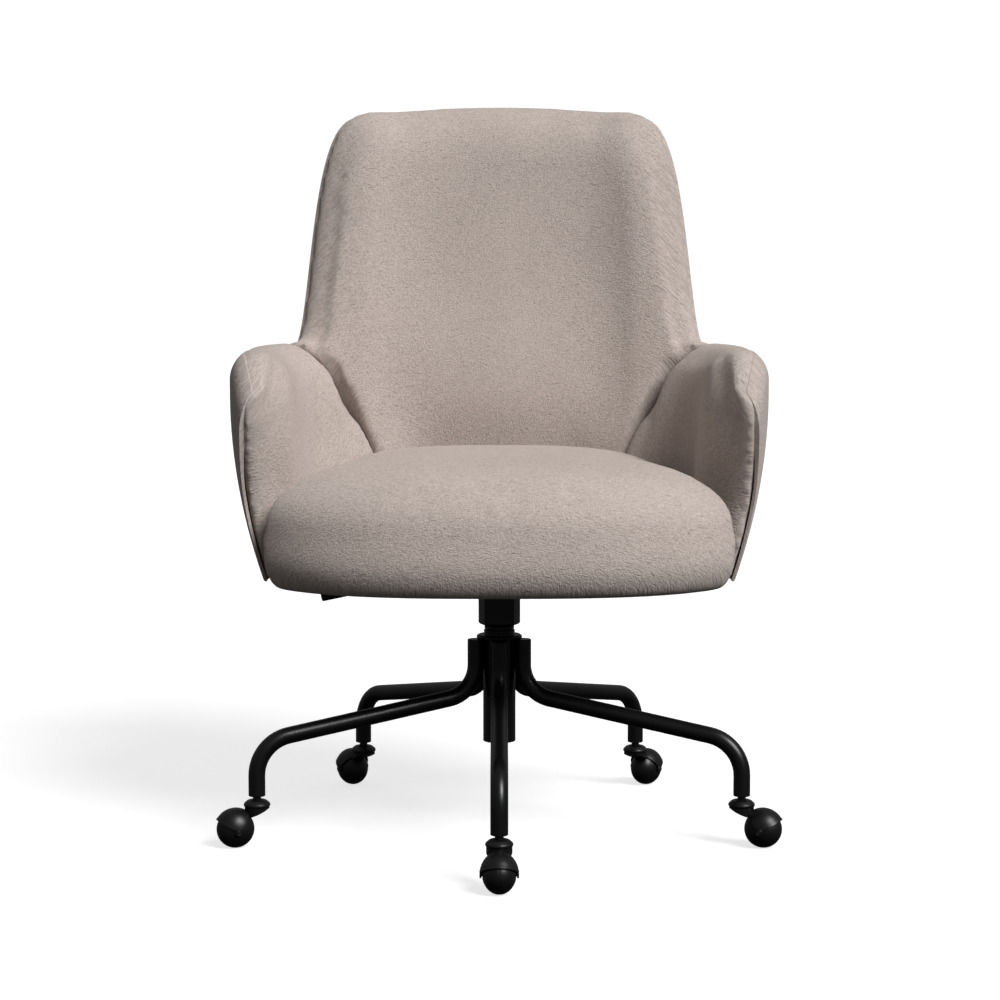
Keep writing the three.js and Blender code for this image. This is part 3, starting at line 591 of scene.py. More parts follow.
neck = node_radius("guide_bushing")
neck_low, neck_high = stand_high + BUSHING_SEAT, top("guide_bushing")
sleeve_low = neck_low - BUSHING_REACH
add_piece("guide_neck", placed(turned(rounded([
    (BUSHING_BORE, sleeve_low), (BUSHING_SLEEVE, sleeve_low), (BUSHING_SLEEVE, neck_low),
    (neck, neck_low), (neck, neck_low + 3 * MM), (neck - 1.6 * MM, neck_low + 3.8 * MM),
    (neck - 1.6 * MM, neck_low + 5 * MM), (neck - 0.6 * MM, neck_low + 5.8 * MM),
    (neck - 1.2 * MM, neck_high), (BUSHING_BORE, neck_high), (BUSHING_BORE, sleeve_low),
], 0.5 * MM)), on_column), nylon, "base", ["guide_bushing"])
cylinder_radius = node_radius("gas_cylinder")
add_piece("gas_spring", placed(turned(stem_profile(
    cylinder_radius, bottom("gas_cylinder"), top("gas_cylinder"), 1.2 * MM)), on_column),
    powder_coat, "seat", ["gas_cylinder"])
cover_corner = node_radius("column_cover")
cover_low, cover_high = bottom("column_cover"), top("column_cover")
add_piece("mechanism_cover", placed(turned([
    (COVER_BORE, cover_low), (cover_corner - COVER_CHAMFER, cover_low),
    (cover_corner, cover_low + COVER_CHAMFER), (cover_corner, cover_high), (COVER_BORE, cover_high),
    (COVER_BORE, cover_low),
], COVER_SIDES), on_column), nylon, "seat", ["column_cover"], bevel=1.1 * MM)
print("hub", round(hub_radius, 4), "ring", round(ring_radius, 4), "cover across", round(2 * cover_corner, 3))

# %% [markdown]
# ## Ball castors
# A ball castor is a wheel shaped like a ball, under a hood that covers its top and rear. The hood hangs
# from a round collar that turns on the stem, and its axle shows as a small dot on each side. Three pieces
# make one castor: collar and hood together, the ball, and the axle pin.

# %% Castor pieces
TRAIL = 29.2 * MM
BALL = 25 * MM
BALL_HALF_WIDTH = 21.3 * MM
HOOD_GAP = 1.4 * MM
HOOD_WALL = 1.6 * MM
COLLAR = 17.5 * MM
COLLAR_TOP = 62.5 * MM
COLLAR_UNDER, COLLAR_SLOPE = 38 * MM, 0.43
HOOD_TRAILING, HOOD_LEADING, HOOD_TILT = math.radians(28), math.radians(130), math.radians(82)
HOOD_LIP, HOOD_LIP_STEPS = 0.9 * MM, 1.3
STEM_HOLE, BOSS_RADIUS, BOSS_BORE, BOSS_DEPTH, PIN_RADIUS = 5.8 * MM, 5 * MM, 3.3 * MM, 2.6 * MM, 2.9 * MM
on_axle = Matrix.Translation((TRAIL, 0, BALL)) @ Matrix.Rotation(math.pi / 2, 4, "X")


def hood_shape():
    """A lune of thin wall round the ball, from ahead of its top to low behind, with a lip at its low edge."""
    turns = 26
    across = 20
    layers = []
    for wall in (0, HOOD_WALL):
        for step in range(turns + 1):
            swing = HOOD_TRAILING + (HOOD_LEADING - HOOD_TRAILING) * step / turns
            lip = HOOD_LIP * math.exp(-((step / HOOD_LIP_STEPS) ** 2)) if wall else 0
            reach = BALL + HOOD_GAP + wall + lip
            half = BALL_HALF_WIDTH + HOOD_GAP + wall
            for place in range(across + 1):
                tilt = HOOD_TILT * (2 * place / across - 1)
                layers.append((TRAIL + reach * math.cos(tilt) * math.cos(swing), half * math.sin(tilt),
                               BALL + reach * math.cos(tilt) * math.sin(swing)))
    rows, columns = turns + 1, across + 1
    inner = grid_faces(rows, columns)
    shift = rows * columns
    faces = inner + [tuple(shift + corner for corner in face) for face in inner]
    rim = [row * columns for row in range(rows)]
    rim += [(rows - 1) * columns + column for column in range(1, columns)]
    rim += [row * columns + columns - 1 for row in range(rows - 2, -1, -1)]
    rim += list(range(columns - 2, 0, -1))
    for first, second in zip(rim, rim[1:] + rim[:1]):
        faces.append((first, second, second + shift, first + shift))
    return layers, faces


def collar_shape():
    """A domed disc whose sloping underside clears the ball."""
    segments = 48
    skirt = COLLAR - 1.2 * MM
    brim = COLLAR_TOP - 5.5 * MM
    top_profile = rounded([
        (skirt, brim - 6 * MM), (skirt, brim - 3.7 * MM), (COLLAR, brim - 2.8 * MM), (COLLAR, brim),
        (COLLAR - 5 * MM, COLLAR_TOP - 1 * MM), (STEM_HOLE, COLLAR_TOP),
    ], 1.6 * MM)
    clear = BALL + HOOD_GAP

    def underside(x, y):
        slope = COLLAR_UNDER + (COLLAR - x) * COLLAR_SLOPE
        rise = 1 - ((x - TRAIL) / clear) ** 2 - (y / (BALL_HALF_WIDTH + HOOD_GAP)) ** 2
        over_ball = BALL + clear * math.sqrt(rise) if rise > 0 else 0
        return min(max(slope, over_ball), brim - 6.2 * MM)

    rings = [(radius, None) for radius in np.linspace(STEM_HOLE, skirt, 7)]
    rings += [tuple(point) for point in top_profile[1:]]
    rings.append((STEM_HOLE, None))
    points = []
    for radius, height in rings:
        for index in range(segments):
            angle = 2 * math.pi * index / segments
            x, y = radius * math.cos(angle), radius * math.sin(angle)
            points.append((x, y, underside(x, y) if height is None else height))
    return points, grid_faces(len(rings), segments, wrap=True)


def ball_shape():
    """The wheel: an ellipsoid, with a shallow groove round its middle and a recessed ring on each side."""
    profile = []
    for latitude in np.linspace(-76, 76, 49):
        groove = 0.35 * MM * math.exp(-((latitude / 1.6) ** 2))
        recess = 0.5 * MM * math.exp(-(((abs(latitude) - 52) / 2.2) ** 2))
        radius = (BALL - groove - recess) * math.cos(math.radians(latitude))
        profile.append((radius, BALL_HALF_WIDTH * math.sin(math.radians(latitude))))
    end = profile[-1][1]
    return [(0, -end)] + profile + [(0, end)]


axle_end = BALL_HALF_WIDTH + HOOD_GAP + HOOD_WALL
boss_foot = axle_end - BOSS_DEPTH
boss = rounded([
    (BOSS_BORE, boss_foot), (BOSS_RADIUS, boss_foot), (BOSS_RADIUS, axle_end), (BOSS_BORE, axle_end),
    (BOSS_BORE, boss_foot),
], 0.5 * MM)
far_boss = [(radius, -height) for radius, height in boss]
castor_body = joined(hood_shape(), collar_shape(), placed(turned(boss, 24), on_axle),
                     placed(turned(far_boss, 24), on_axle))
ball = placed(turned(ball_shape(), 64), on_axle)
pin = placed(turned(stem_profile(PIN_RADIUS, -axle_end, axle_end, 0.8 * MM), 20), on_axle)
for number in range(1, LEG_COUNT + 1):
    place = leg_place(number) @ Matrix.Translation((LEG_SPREAD, 0, 0))
    add_piece(f"castor_hood_{number}", placed(castor_body, place), nylon, f"castor_{number}",
              [f"castor_yoke_{number}"])
    add_piece(f"castor_ball_{number}", placed(ball, place), nylon, f"ball_{number}",
              [f"castor_wheel_{number}"])
    add_piece(f"castor_pin_{number}", placed(pin, place), blackened, f"castor_{number}",
              [f"castor_axle_{number}"])
print("five castors, each with", len(ball[0]) + len(castor_body[0]), "points")

# %% [markdown]
# ## Height lever and seat bolts
# The lever is one bent rod on a barrel, flattened where it presses the gas spring's pin, with a round-ended
# nylon grip. The bent tube tree makes the rod. The four bolts that hold the seat are all alike, so a second
# tree sets a hexagon head and its washer at each of four points.

# %% Height lever
GRIP_LENGTH, GRIP_RADIUS = 46 * MM, 6 * MM
GRIP_DROOP = math.radians(12)
GRIP_SOCKET = 30 * MM
LEVER_ROD, LEVER_CRANK, LEVER_STRAIGHT, LEVER_BENDS = 4 * MM, 38 * MM, 14 * MM, (40 * MM, 20 * MM)
BARREL_RADIUS, BARREL_HALF_LENGTH = 5 * MM, 8.5 * MM
ARM_HALF_WIDTH, ARM_DEPTH, PIN_GAP = 6 * MM, 3 * MM, 0.6 * MM
pivot = middle("lever_pivot_pin")
grip_tip = Vector((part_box("lever_grip")[0][0], column_y, 316 * MM))
grip_heading = Vector((-math.cos(GRIP_DROOP), 0, -math.sin(GRIP_DROOP)))
grip_mouth = grip_tip - GRIP_LENGTH * grip_heading


def shape_of(piece):
    """Takes a piece apart into points and faces again."""
    mesh = piece.data
    shape = ([tuple(v.co) for v in mesh.vertices], [tuple(p.vertices) for p in mesh.polygons])
    bpy.data.objects.remove(piece)
    return shape


def block(low, high):
    x0, y0, z0 = low
    x1, y1, z1 = high
    points = [(x, y, z) for z in (z0, z1) for x, y in ((x0, y0), (x1, y0), (x1, y1), (x0, y1))]
    faces = [(0, 1, 2, 3), (4, 5, 6, 7), (0, 1, 5, 4), (1, 2, 6, 5), (2, 3, 7, 6), (3, 0, 4, 7)]
    return points, faces


rod_corners = [
    tuple(pivot), (pivot.x - LEVER_CRANK, column_y, grip_mouth.z),
    tuple(grip_mouth - LEVER_STRAIGHT * grip_heading), tuple(grip_mouth + GRIP_SOCKET * grip_heading),
]
rod = shape_of(bent_tube("lever_rod", rod_corners, LEVER_ROD, LEVER_BENDS, powder_coat))
across_pivot = Matrix.Translation(pivot) @ Matrix.Rotation(math.pi / 2, 4, "X")
barrel_profile = stem_profile(BARREL_RADIUS, -BARREL_HALF_LENGTH, BARREL_HALF_LENGTH, 0.8 * MM)
barrel = placed(turned(barrel_profile, 28), across_pivot)
arm_low = top("release_pin") + PIN_GAP
arm = block((pivot.x, column_y - ARM_HALF_WIDTH, arm_low),
            (ARM_HALF_WIDTH, column_y + ARM_HALF_WIDTH, arm_low + ARM_DEPTH))
add_piece("height_lever", joined(rod, barrel, arm), powder_coat, "lever", ["release_lever"],
          bevel=0.5 * MM)
grip_profile = rounded([(0, 0), (GRIP_RADIUS, 0), (GRIP_RADIUS, 34 * MM), (GRIP_RADIUS - 1.4 * MM, 36 * MM),
                        (GRIP_RADIUS - 1.4 * MM, 38 * MM), (GRIP_RADIUS, 40 * MM), (GRIP_RADIUS, GRIP_LENGTH),
                        (LEVER_ROD + 0.3 * MM, GRIP_LENGTH), (LEVER_ROD + 0.3 * MM, 16 * MM), (0, 16 * MM)],
                       5.2 * MM, steps=6)
towards_mouth = Vector((0, 0, 1)).rotation_difference(-grip_heading).to_matrix().to_4x4()
handle = placed(turned(grip_profile, 32), Matrix.Translation(grip_tip) @ towards_mouth)
add_piece("lever_handle", handle, nylon, "lever", ["lever_grip"])
print("lever pivots at", tuple(round(v, 4) for v in pivot), "and its grip ends at", round(grip_tip.x, 3))


# %% Bolt tree
def bolt_tree():
    tree = bpy.data.node_groups.new("bolt_heads", "GeometryNodeTree")
    tree.is_modifier = True
    add = tree.interface.new_socket
    add("Geometry", in_out="INPUT", socket_type="NodeSocketGeometry")
    for name in ("Head Radius", "Head Height", "Washer Radius", "Washer Height"):
        add(name, in_out="INPUT", socket_type="NodeSocketFloat")
    add("Finish", in_out="INPUT", socket_type="NodeSocketMaterial")
    add("Geometry", in_out="OUTPUT", socket_type="NodeSocketGeometry")
    make = tree.nodes.new
    entry, leave = make("NodeGroupInput"), make("NodeGroupOutput")
    parts = make("GeometryNodeJoinGeometry")
    drop = make("ShaderNodeMath")
    drop.operation = "MULTIPLY_ADD"
    drop.inputs[1].default_value = -0.5
    offset = make("ShaderNodeCombineXYZ")
    for sides, size, thickness in ((6, "Head Radius", "Head Height"), (24, "Washer Radius", "Washer Height")):
        disc = make("GeometryNodeMeshCylinder")
        disc.inputs["Vertices"].default_value = sides
        tree.links.new(entry.outputs[size], disc.inputs["Radius"])
        tree.links.new(entry.outputs[thickness], disc.inputs["Depth"])
        shift = make("GeometryNodeTransform")
        tree.links.new(disc.outputs["Mesh"], shift.inputs["Geometry"])
        if sides == 6:
            tree.links.new(entry.outputs[thickness], drop.inputs[0])
            negative = make("ShaderNodeMath")
            negative.operation = "MULTIPLY"
            negative.inputs[1].default_value = -1.0
            tree.links.new(entry.outputs["Washer Height"], negative.inputs[0])
            tree.links.new(negative.outputs[0], drop.inputs[2])
            tree.links.new(drop.outputs[0], offset.inputs["Z"])
            tree.links.new(offset.outputs[0], shift.inputs["Translation"])
        tree.links.new(shift.outputs[0], parts.inputs[0])
    place = make("GeometryNodeInstanceOnPoints")
    realize = make("GeometryNodeRealizeInstances")
    paint = make("GeometryNodeSetMaterial")
    tree.links.new(entry.outputs["Geometry"], place.inputs["Points"])
    tree.links.new(parts.outputs[0], place.inputs["Instance"])
    tree.links.new(place.outputs[0], realize.inputs[0])
    tree.links.new(realize.outputs[0], paint.inputs["Geometry"])
    tree.links.new(entry.outputs["Finish"], paint.inputs["Material"])
    tree.links.new(paint.outputs[0], leave.inputs[0])
    return tree


# %% Seat bolts
bolt_nodes = [f"seat_bolt_{n}" for n in range(1, 5)]
plate_under = bottom("seat_plate")
washer, washer_radius, head_radius = 1.2 * MM, 8.5 * MM, 6.5 * MM
bolt_points = [(middle(node).x, middle(node).y, plate_under - washer / 2) for node in bolt_nodes]
bolts = run_tree("seat_bolts", bolt_tree(), (bolt_points, [], []), zinc,
                 **{"Head Radius": head_radius, "Head Height": plate_under - washer - bottom(bolt_nodes[0]),
                    "Washer Radius": washer_radius, "Washer Height": washer})
carry(bolts, "seat", bolt_nodes)
print(len(bolt_points), "seat bolts")

# %% [markdown]
# ## Upholstery fabric
# The cover is a taupe crepe weave: a fine, uneven crosshatch of warp and weft with sparse slub
# creases. The pattern has to follow the cloth, not the room, so every padded piece carries a `weave`
# attribute that says how far along and up the cloth each point lies, in metres. Two noises with long thin
# cells, one along the cloth and one across it, make the threads. A third, longer and thinner, makes the
# creases where it is high and raised threads where it is low. The colour follows these bumps: raised
# threads and ridges are painted lighter and creases and dents darker, which is painted light and painted
# shade; only the broad blotches are the cloth's own uneven tone.


# %% Taupe weave
def weave_finish():
    cloth = Finish("taupe_weave", Specular_IOR_Level=0.16, Sheen_Weight=0.22, Sheen_Roughness=0.55)
    cloth.shader.inputs["Sheen Tint"].default_value = rgb(0.9, 0.84, 0.8)
    laid = cloth.node("ShaderNodeAttribute", {"attribute_name": "weave"}, output="Vector")
    along, up, _ = cloth.split(laid)
    wander = cloth.noise(cloth.vector(along * 20, up * 20), detail=2) - 0.5
    row = up + wander * 0.0025
    slub = cloth.noise(cloth.vector(along * 110, row * 470, 1.7), detail=2, roughness=0.55)
    nub = cloth.noise(cloth.vector(along * 380, row * 480, 5.1), detail=2)
    weft = cloth.ramp(cloth.noise(cloth.vector(along * 290, up * 660, 9.4), detail=1), 0.3, 0.7)
    warp = cloth.ramp(cloth.noise(cloth.vector(along * 690, up * 320, 2.6), detail=1), 0.3, 0.7)
    blotch = cloth.noise(cloth.vector(along * 9, up * 9, 3.3), detail=3)
    crease = cloth.ramp(slub, 0.6, 0.78)
    ridge = cloth.ramp(slub, 0.45, 0.3)
    dent = cloth.ramp(nub, 0.54, 0.72)
    height = 0.4 + ridge * 0.15 - crease * 0.55 - dent * 0.25 + weft * 0.32 + warp * 0.26
    # painted light and shade: the colour is lighter where the bump is raised (ridges, threads) and darker in
    # the creases and dents; blotch is the cloth's own uneven tone
    shade = 0.32 + ridge * 0.06 - crease * 0.3 - dent * 0.15 + weft * 0.23 + warp * 0.17 + blotch * 0.14
    tone = cloth.blend(cloth.ramp(shade, 0.0, 1.0), rgb(0.27, 0.222, 0.197), rgb(0.575, 0.497, 0.458))
    cloth.feed("Base Color", tone)
    cloth.feed("Roughness", 0.86 + 0.1 * weft)
    cloth.bump(height, distance=0.001, strength=0.8)
    return cloth


weave = weave_finish()
print("fabric finish:", weave.material.name)

# %% [markdown]
# ## The tub's surface
# Back and arms are one bent wall. Every point of it is told by its angle from the rear, its height and its
# depth under the outer face. The plan is a superellipse that leans back as it rises, and the rim falls from
# the back to the arms in one wing. These are the same sizes that the frame is built from.

# %% Tub surface
TUB_Y = column_y + 40 * MM
TUB_LOW = bottom("outer_shell")
TUB_POWER = 2.4
HALF_WIDTH_LOW, HALF_WIDTH, WIDEST = 317 * MM, 358.5 * MM, 592 * MM
REAR_REACH, LUMBAR, RECLINE = 215 * MM, 500 * MM, 0.147
FORWARD_REACH = 395 * MM
BACK_TOP, ARM_TOP = 974 * MM, 653 * MM
TOP_CROWN, TOP_CROWN_SPAN = 7 * MM, math.radians(32)
WING = (math.radians(32.3), math.radians(64.7), 2.24)
ARM_FRONT, NOSE, NOSE_DROP = math.radians(121), math.radians(13), 52 * MM
NOSE_START = math.radians(104)
LEAN, LEAN_START = math.radians(6), math.radians(95)
LEAN_FOOT, LEAN_TOP = 430 * MM, 600 * MM
BACK_WALL, ARM_WALL, WALL_SETTLES = 72 * MM, 86 * MM, math.radians(76)
INNER_ROUND = 2.3  # the inner face rounds over this many times the outer face's span
RISE_POWER = 1.6  # packs a panel's rows towards its rim
NOSE_THINS = 0.93


def smooth_step(low, high, value):
    share = np.clip((value - low) / (high - low), 0, 1)
    return share * share * (3 - 2 * share)


def tub_reach(angle, height):
    drop = np.maximum(0, WIDEST - height) / (WIDEST - TUB_LOW)
    half = HALF_WIDTH - (HALF_WIDTH - HALF_WIDTH_LOW) * drop ** 2
    rear = REAR_REACH + (height - LUMBAR) * RECLINE
    along = np.where(np.cos(angle) >= 0, rear, FORWARD_REACH)
    side_part = (np.abs(np.sin(angle)) / half) ** TUB_POWER
    front_part = (np.abs(np.cos(angle)) / along) ** TUB_POWER
    return (side_part + front_part) ** (-1 / TUB_POWER)


def wall_thickness(angle):
    return BACK_WALL + (ARM_WALL - BACK_WALL) * smooth_step(WING[0], WALL_SETTLES, np.abs(angle))


def rim_height(angle):
    turn = np.abs(angle)
    start, end, skew = WING
    fall = smooth_step(0, 1, np.clip((turn - start) / (end - start), 0, 1) ** skew)
    nose = np.maximum(0, turn - (ARM_FRONT - NOSE)) / NOSE
    crown = TOP_CROWN * np.maximum(0, 1 - (turn / TOP_CROWN_SPAN) ** 2)
    return BACK_TOP + crown + (ARM_TOP - BACK_TOP) * fall - NOSE_DROP * nose ** 2


def tub_point(angle, height, depth):
    ahead = np.maximum(0, (np.abs(angle) - LEAN_START) / (ARM_FRONT - LEAN_START))
    lean = LEAN * ahead * (1 - smooth_step(LEAN_FOOT, LEAN_TOP, height))
    bearing = angle - np.sign(angle) * lean
    reach = tub_reach(bearing, height) - depth
    return np.stack([reach * np.sin(bearing), TUB_Y + reach * np.cos(bearing), height + 0 * reach], axis=-1)


def rim_stretch(angle):
    """How much longer the rounded rim is when measured upright, where the rim runs steeply."""
    step = math.radians(0.5)
    before = tub_point(angle - step, rim_height(angle - step), 0)
    after = tub_point(angle + step, rim_height(angle + step), 0)
    run = np.linalg.norm((after - before)[..., :2], axis=-1)
    return np.linalg.norm(after - before, axis=-1) / run


def panel_height(angle, share, low, fullness):
    half = wall_thickness(angle) / 2
    peak = rim_height(angle) - half * rim_stretch(angle) * (1 - fullness)
    return low + (peak - low) * (1 - (1 - share) ** RISE_POWER)


def quarter_round(below_rim, span):
    return np.sqrt(np.maximum(0, 1 - np.maximum(0, 1 - below_rim / span) ** 2))


def tub_panel(angle, share, low, outer, inner, fullness, nose=0.0):
    """A closed panel over grids of angle and share. Outer and inner give depths under the tub's face.
    Nose runs from 0 to 1 where the panel thins towards its front edge."""
    half = wall_thickness(angle) / 2
    round_height = half * rim_stretch(angle)
    height = panel_height(angle, share, low, fullness)
    below_rim = np.maximum(0, rim_height(angle) - height)
    swell = quarter_round(below_rim, round_height)
    inner_swell = quarter_round(below_rim, round_height * INNER_ROUND)
    outer_depth = np.maximum(outer(angle, height), half * (1 - swell))
    inner_depth = half + (inner(angle, height) - half) * inner_swell
    inner_depth = outer_depth + (inner_depth - outer_depth) * np.sqrt(1 - NOSE_THINS * nose ** 2)
    outside = tub_point(angle, height, outer_depth)
    inside = tub_point(angle, height, inner_depth)
    rows, columns = angle.shape
    points = np.concatenate([outside.reshape(-1, 3), inside.reshape(-1, 3)])
    faces = grid_faces(rows, columns)
    shift = rows * columns
    faces += [tuple(shift + corner for corner in reversed(face)) for face in faces]
    rim_loop = list(range(columns)) + [row * columns + columns - 1 for row in range(1, rows)]
    rim_loop += [(rows - 1) * columns + column for column in range(columns - 2, -1, -1)]
    rim_loop += [row * columns for row in range(rows - 2, 0, -1)]
    for first, second in zip(rim_loop, rim_loop[1:] + rim_loop[:1]):
        faces.append((second, first, first + shift, second + shift))
    return points.tolist(), faces


print("tub: half width", HALF_WIDTH, "rim from", BACK_TOP, "down to", ARM_TOP)

# %% [markdown]
# ## Foam under cloth
# A cushion's cover is cut a little tight and the foam pushes it out, so its faces crown between the seams.
# The recipe: remesh the pad into even small faces, let the Cloth modifier blow it up from inside with no
# gravity, and then let each point keep only as much of that movement as its place allows. Seams, undersides
# and faces that lie against something else are held.


# %% Plump and weave helpers
VOXEL = 6 * MM
PRESSURE = 4.0
SIM_FRAMES = 20
PLAN_REACH = 0.33  # the tub's mean radius in plan, for lengths along the cloth
SEAT_PLUMP, BACK_PLUMP, ARM_PLUMP = 7 * MM, 7 * MM, 5 * MM


def evaluated_mesh(piece):
    evaluated = piece.evaluated_get(bpy.context.evaluated_depsgraph_get())
    return bpy.data.meshes.new_from_object(evaluated)


def point_array(mesh):
    flat = np.empty(len(mesh.vertices) * 3)
    mesh.vertices.foreach_get("co", flat)
    return flat.reshape(-1, 3)


def remesh(piece, voxel=VOXEL):
    skin = piece.modifiers.new("skin", "REMESH")
    skin.mode = "VOXEL"
    skin.voxel_size = voxel
    mesh = evaluated_mesh(piece)
    piece.modifiers.remove(skin)
    piece.data = mesh


def relax(points, edges, share, rounds):
    """Evens out a mesh: each point moves part of the way to the middle of its neighbours."""
    count = np.bincount(edges.ravel(), minlength=len(points))[:, None]
    for _ in range(rounds):
        total = np.zeros_like(points)
        np.add.at(total, edges[:, 0], points[edges[:, 1]])
        np.add.at(total, edges[:, 1], points[edges[:, 0]])
        points = points + share * (total / count - points)
    return points


def plump(piece, cap, freedom):
    """Inflates a piece by cloth simulation; freedom(points) says what share of the cap each point may use."""
    before = point_array(piece.data)
    cloth = piece.modifiers.new("cloth", "CLOTH")
    cloth.settings.use_pressure = True
    cloth.settings.uniform_pressure_force = PRESSURE
    cloth.settings.effector_weights.gravity = 0
    cloth.settings.quality = 4
    cloth.settings.tension_stiffness = 12
    cloth.collision_settings.use_collision = False
    cloth.point_cache.frame_end = SIM_FRAMES
    for moment in range(1, SIM_FRAMES + 1):
        bpy.context.scene.frame_set(moment)
    after = point_array(evaluated_mesh(piece))
    piece.modifiers.remove(cloth)
    bpy.context.scene.frame_set(1)
    move = after - before
    length = np.linalg.norm(move, axis=1, keepdims=True)
    move *= np.minimum(1, cap / np.maximum(length, 1e-9)) * freedom(before)[:, None]
    piece.data.vertices.foreach_set("co", (before + move).ravel())
    return float(np.abs(move).max())


def even_out(piece, rounds=3):
    mesh = piece.data
    edges = np.empty(len(mesh.edges) * 2, dtype=np.int64)
    mesh.edges.foreach_get("vertices", edges)
    points = relax(point_array(mesh), edges.reshape(-1, 2), 0.5, rounds)
    mesh.vertices.foreach_set("co", points.ravel())
    mesh.update()


def lay_weave(piece, cloth_place):
    """Stores how far along and up the cloth every point lies."""
    mesh = piece.data
    layer = mesh.attributes.new("weave", "FLOAT_VECTOR", "POINT")
    layer.data.foreach_set("vector", cloth_place(point_array(mesh)).astype(np.float32).ravel())


def smooth_over(piece):
    skin = piece.modifiers.new("smooth", "SUBSURF")
    skin.levels = 1
    skin.render_levels = 1


def padded_piece(name, shape, node, cap, freedom, cloth_place):
    piece = add_piece(name, shape, weave, "seat", [node])
    remesh(piece)
    even_out(piece, 2)
    moved = plump(piece, cap, freedom)
    even_out(piece, 2)
    lay_weave(piece, cloth_place)
    finish_mesh(piece, weave, crease=180)
    smooth_over(piece)
    print(name, len(piece.data.vertices), "points, moved up to", round(moved * 1000, 1), "mm")
    return piece


def depth_in_tub(points):
    angle = np.arctan2(points[:, 0], points[:, 1] - TUB_Y)
    reach = np.hypot(points[:, 0], points[:, 1] - TUB_Y)
    return tub_reach(angle, points[:, 2]) - reach


def around_tub(points):
    """Arc length round the tub, and height gained up the wall and over its rim."""
    angle = np.arctan2(points[:, 0], points[:, 1] - TUB_Y)
    return np.stack([angle * PLAN_REACH, points[:, 2] - depth_in_tub(points), 0 * angle], axis=1)


print("padded pieces remesh at", VOXEL, "and inflate for", SIM_FRAMES, "frames")

# %% [markdown]
# ## Back, arms and outer cover
# The back is a padded wing between the two arms. Each arm pad stands a little proud of it, so a soft seam
# runs in from the rim and curves down to the seat. Low down the back is tucked in, under a slight swell for
# the lumbar spine. One outer cover wraps the tub from arm to arm.

# %% Back, arms and outer cover
SHELL_DEPTH, EDGE_DEPTH, PAD_GAP = 16 * MM, 4 * MM, 1.6 * MM
COVER_THINS = math.radians(104)
COVER_PROUD = 3 * MM
SEAM_ROUND = 12 * MM
SEAM_DIP = 1.5 * MM
SEAM_FOOT, SEAM_HEAD, SEAM_LOW = math.radians(50), math.radians(69), 400 * MM
ARM_PROUD = 4 * MM
ARM_PROUD_FROM, ARM_PROUD_TO = math.radians(64), math.radians(100)
LUMBAR_SWELL, LUMBAR_HEIGHT, LUMBAR_SPAN = 9 * MM, 620 * MM, 85 * MM
TUCK, TUCK_FROM, TUCK_TO = 26 * MM, 420 * MM, 585 * MM
MIDDLE_FULL, MIDDLE_END = math.radians(30), math.radians(52)
MEAN_REACH = 0.3  # turns an angle round the tub into a distance
SEAM_TRIES = 24
COVER_FULLNESS = 0.8
PAD_FULLNESS = 0.99
PAD_LOW = bottom("back_pad")
PAD_END = ARM_FRONT - math.radians(0.4)
SHELL_END = ARM_FRONT - math.radians(1.6)


def seam_angle(share):
    """The seam between back and arm, for each share of a panel's height: near the rear at the seat, and
    further round where it meets the rim. Its height depends on the rim, so it is found by halving."""
    low, high = np.full_like(share, SEAM_FOOT), np.full_like(share, SEAM_HEAD)
    for _ in range(SEAM_TRIES):
        guess = (low + high) / 2
        height = np.minimum(panel_height(guess, share, PAD_LOW, PAD_FULLNESS), ARM_TOP)
        climb = np.clip((height - SEAM_LOW) / (ARM_TOP - SEAM_LOW), 0, 1)
        wanted = SEAM_FOOT + (SEAM_HEAD - SEAM_FOOT) * climb ** 2
        low, high = np.where(wanted > guess, guess, low), np.where(wanted > guess, high, guess)
    return (low + high) / 2


def seam_dip(distance):
    """How far the cloth turns in towards a seam that lies this far away."""
    near = 1 - np.clip(distance / SEAM_ROUND, 0, 1)
    return SEAM_DIP * (1 - np.sqrt(1 - 0.97 * near ** 2))


def cover_foot(angle):
    """The outer cover thins towards the arms' front edges, where the pads come round to meet it."""
    return SHELL_DEPTH - (SHELL_DEPTH - EDGE_DEPTH) * smooth_step(COVER_THINS, SHELL_END, np.abs(angle))


def pad_back(angle, height):
    return cover_foot(angle) + PAD_GAP


def back_shape():
    share, across = np.meshgrid(np.linspace(0, 1, 110), np.linspace(-1, 1, 201), indexing="ij")
    seam = seam_angle(share)

    def inner(angle, height):
        lumbar = LUMBAR_SWELL * np.exp(-(((height - LUMBAR_HEIGHT) / LUMBAR_SPAN) ** 2))
        tuck = TUCK * (1 - smooth_step(TUCK_FROM, TUCK_TO, height))
        middle_share = 1 - smooth_step(MIDDLE_FULL, MIDDLE_END, np.abs(angle))
        dip = seam_dip((seam - np.abs(angle)) * MEAN_REACH)
        return wall_thickness(angle) + (lumbar - tuck) * middle_share - dip

    return tub_panel(across * seam, share, PAD_LOW, pad_back, inner, PAD_FULLNESS)


def arm_shape(side):
    share, across = np.meshgrid(np.linspace(0, 1, 90), np.linspace(0, 1, 110), indexing="ij")
    seam = seam_angle(share) + math.radians(0.25)
    turn = seam + (PAD_END - seam) * across
    nose = np.clip((turn - NOSE_START) / (PAD_END - NOSE_START), 0, 1)

    def inner(angle, height):
        proud = ARM_PROUD * (1 - smooth_step(ARM_PROUD_FROM, ARM_PROUD_TO, turn))
        return wall_thickness(angle) + proud - seam_dip((turn - seam) * MEAN_REACH)

    return tub_panel(side * turn, share, PAD_LOW, pad_back, inner, PAD_FULLNESS, nose)


def shell_shape():
    share, angle = np.meshgrid(np.linspace(0, 1, 70), np.linspace(-SHELL_END, SHELL_END, 281), indexing="ij")

    def outer(angle, height):
        return -COVER_PROUD * smooth_step(math.radians(62), math.radians(80), np.abs(angle))

    def inner(angle, height):
        return cover_foot(angle)

    return tub_panel(angle, share, TUB_LOW, outer, inner, COVER_FULLNESS)


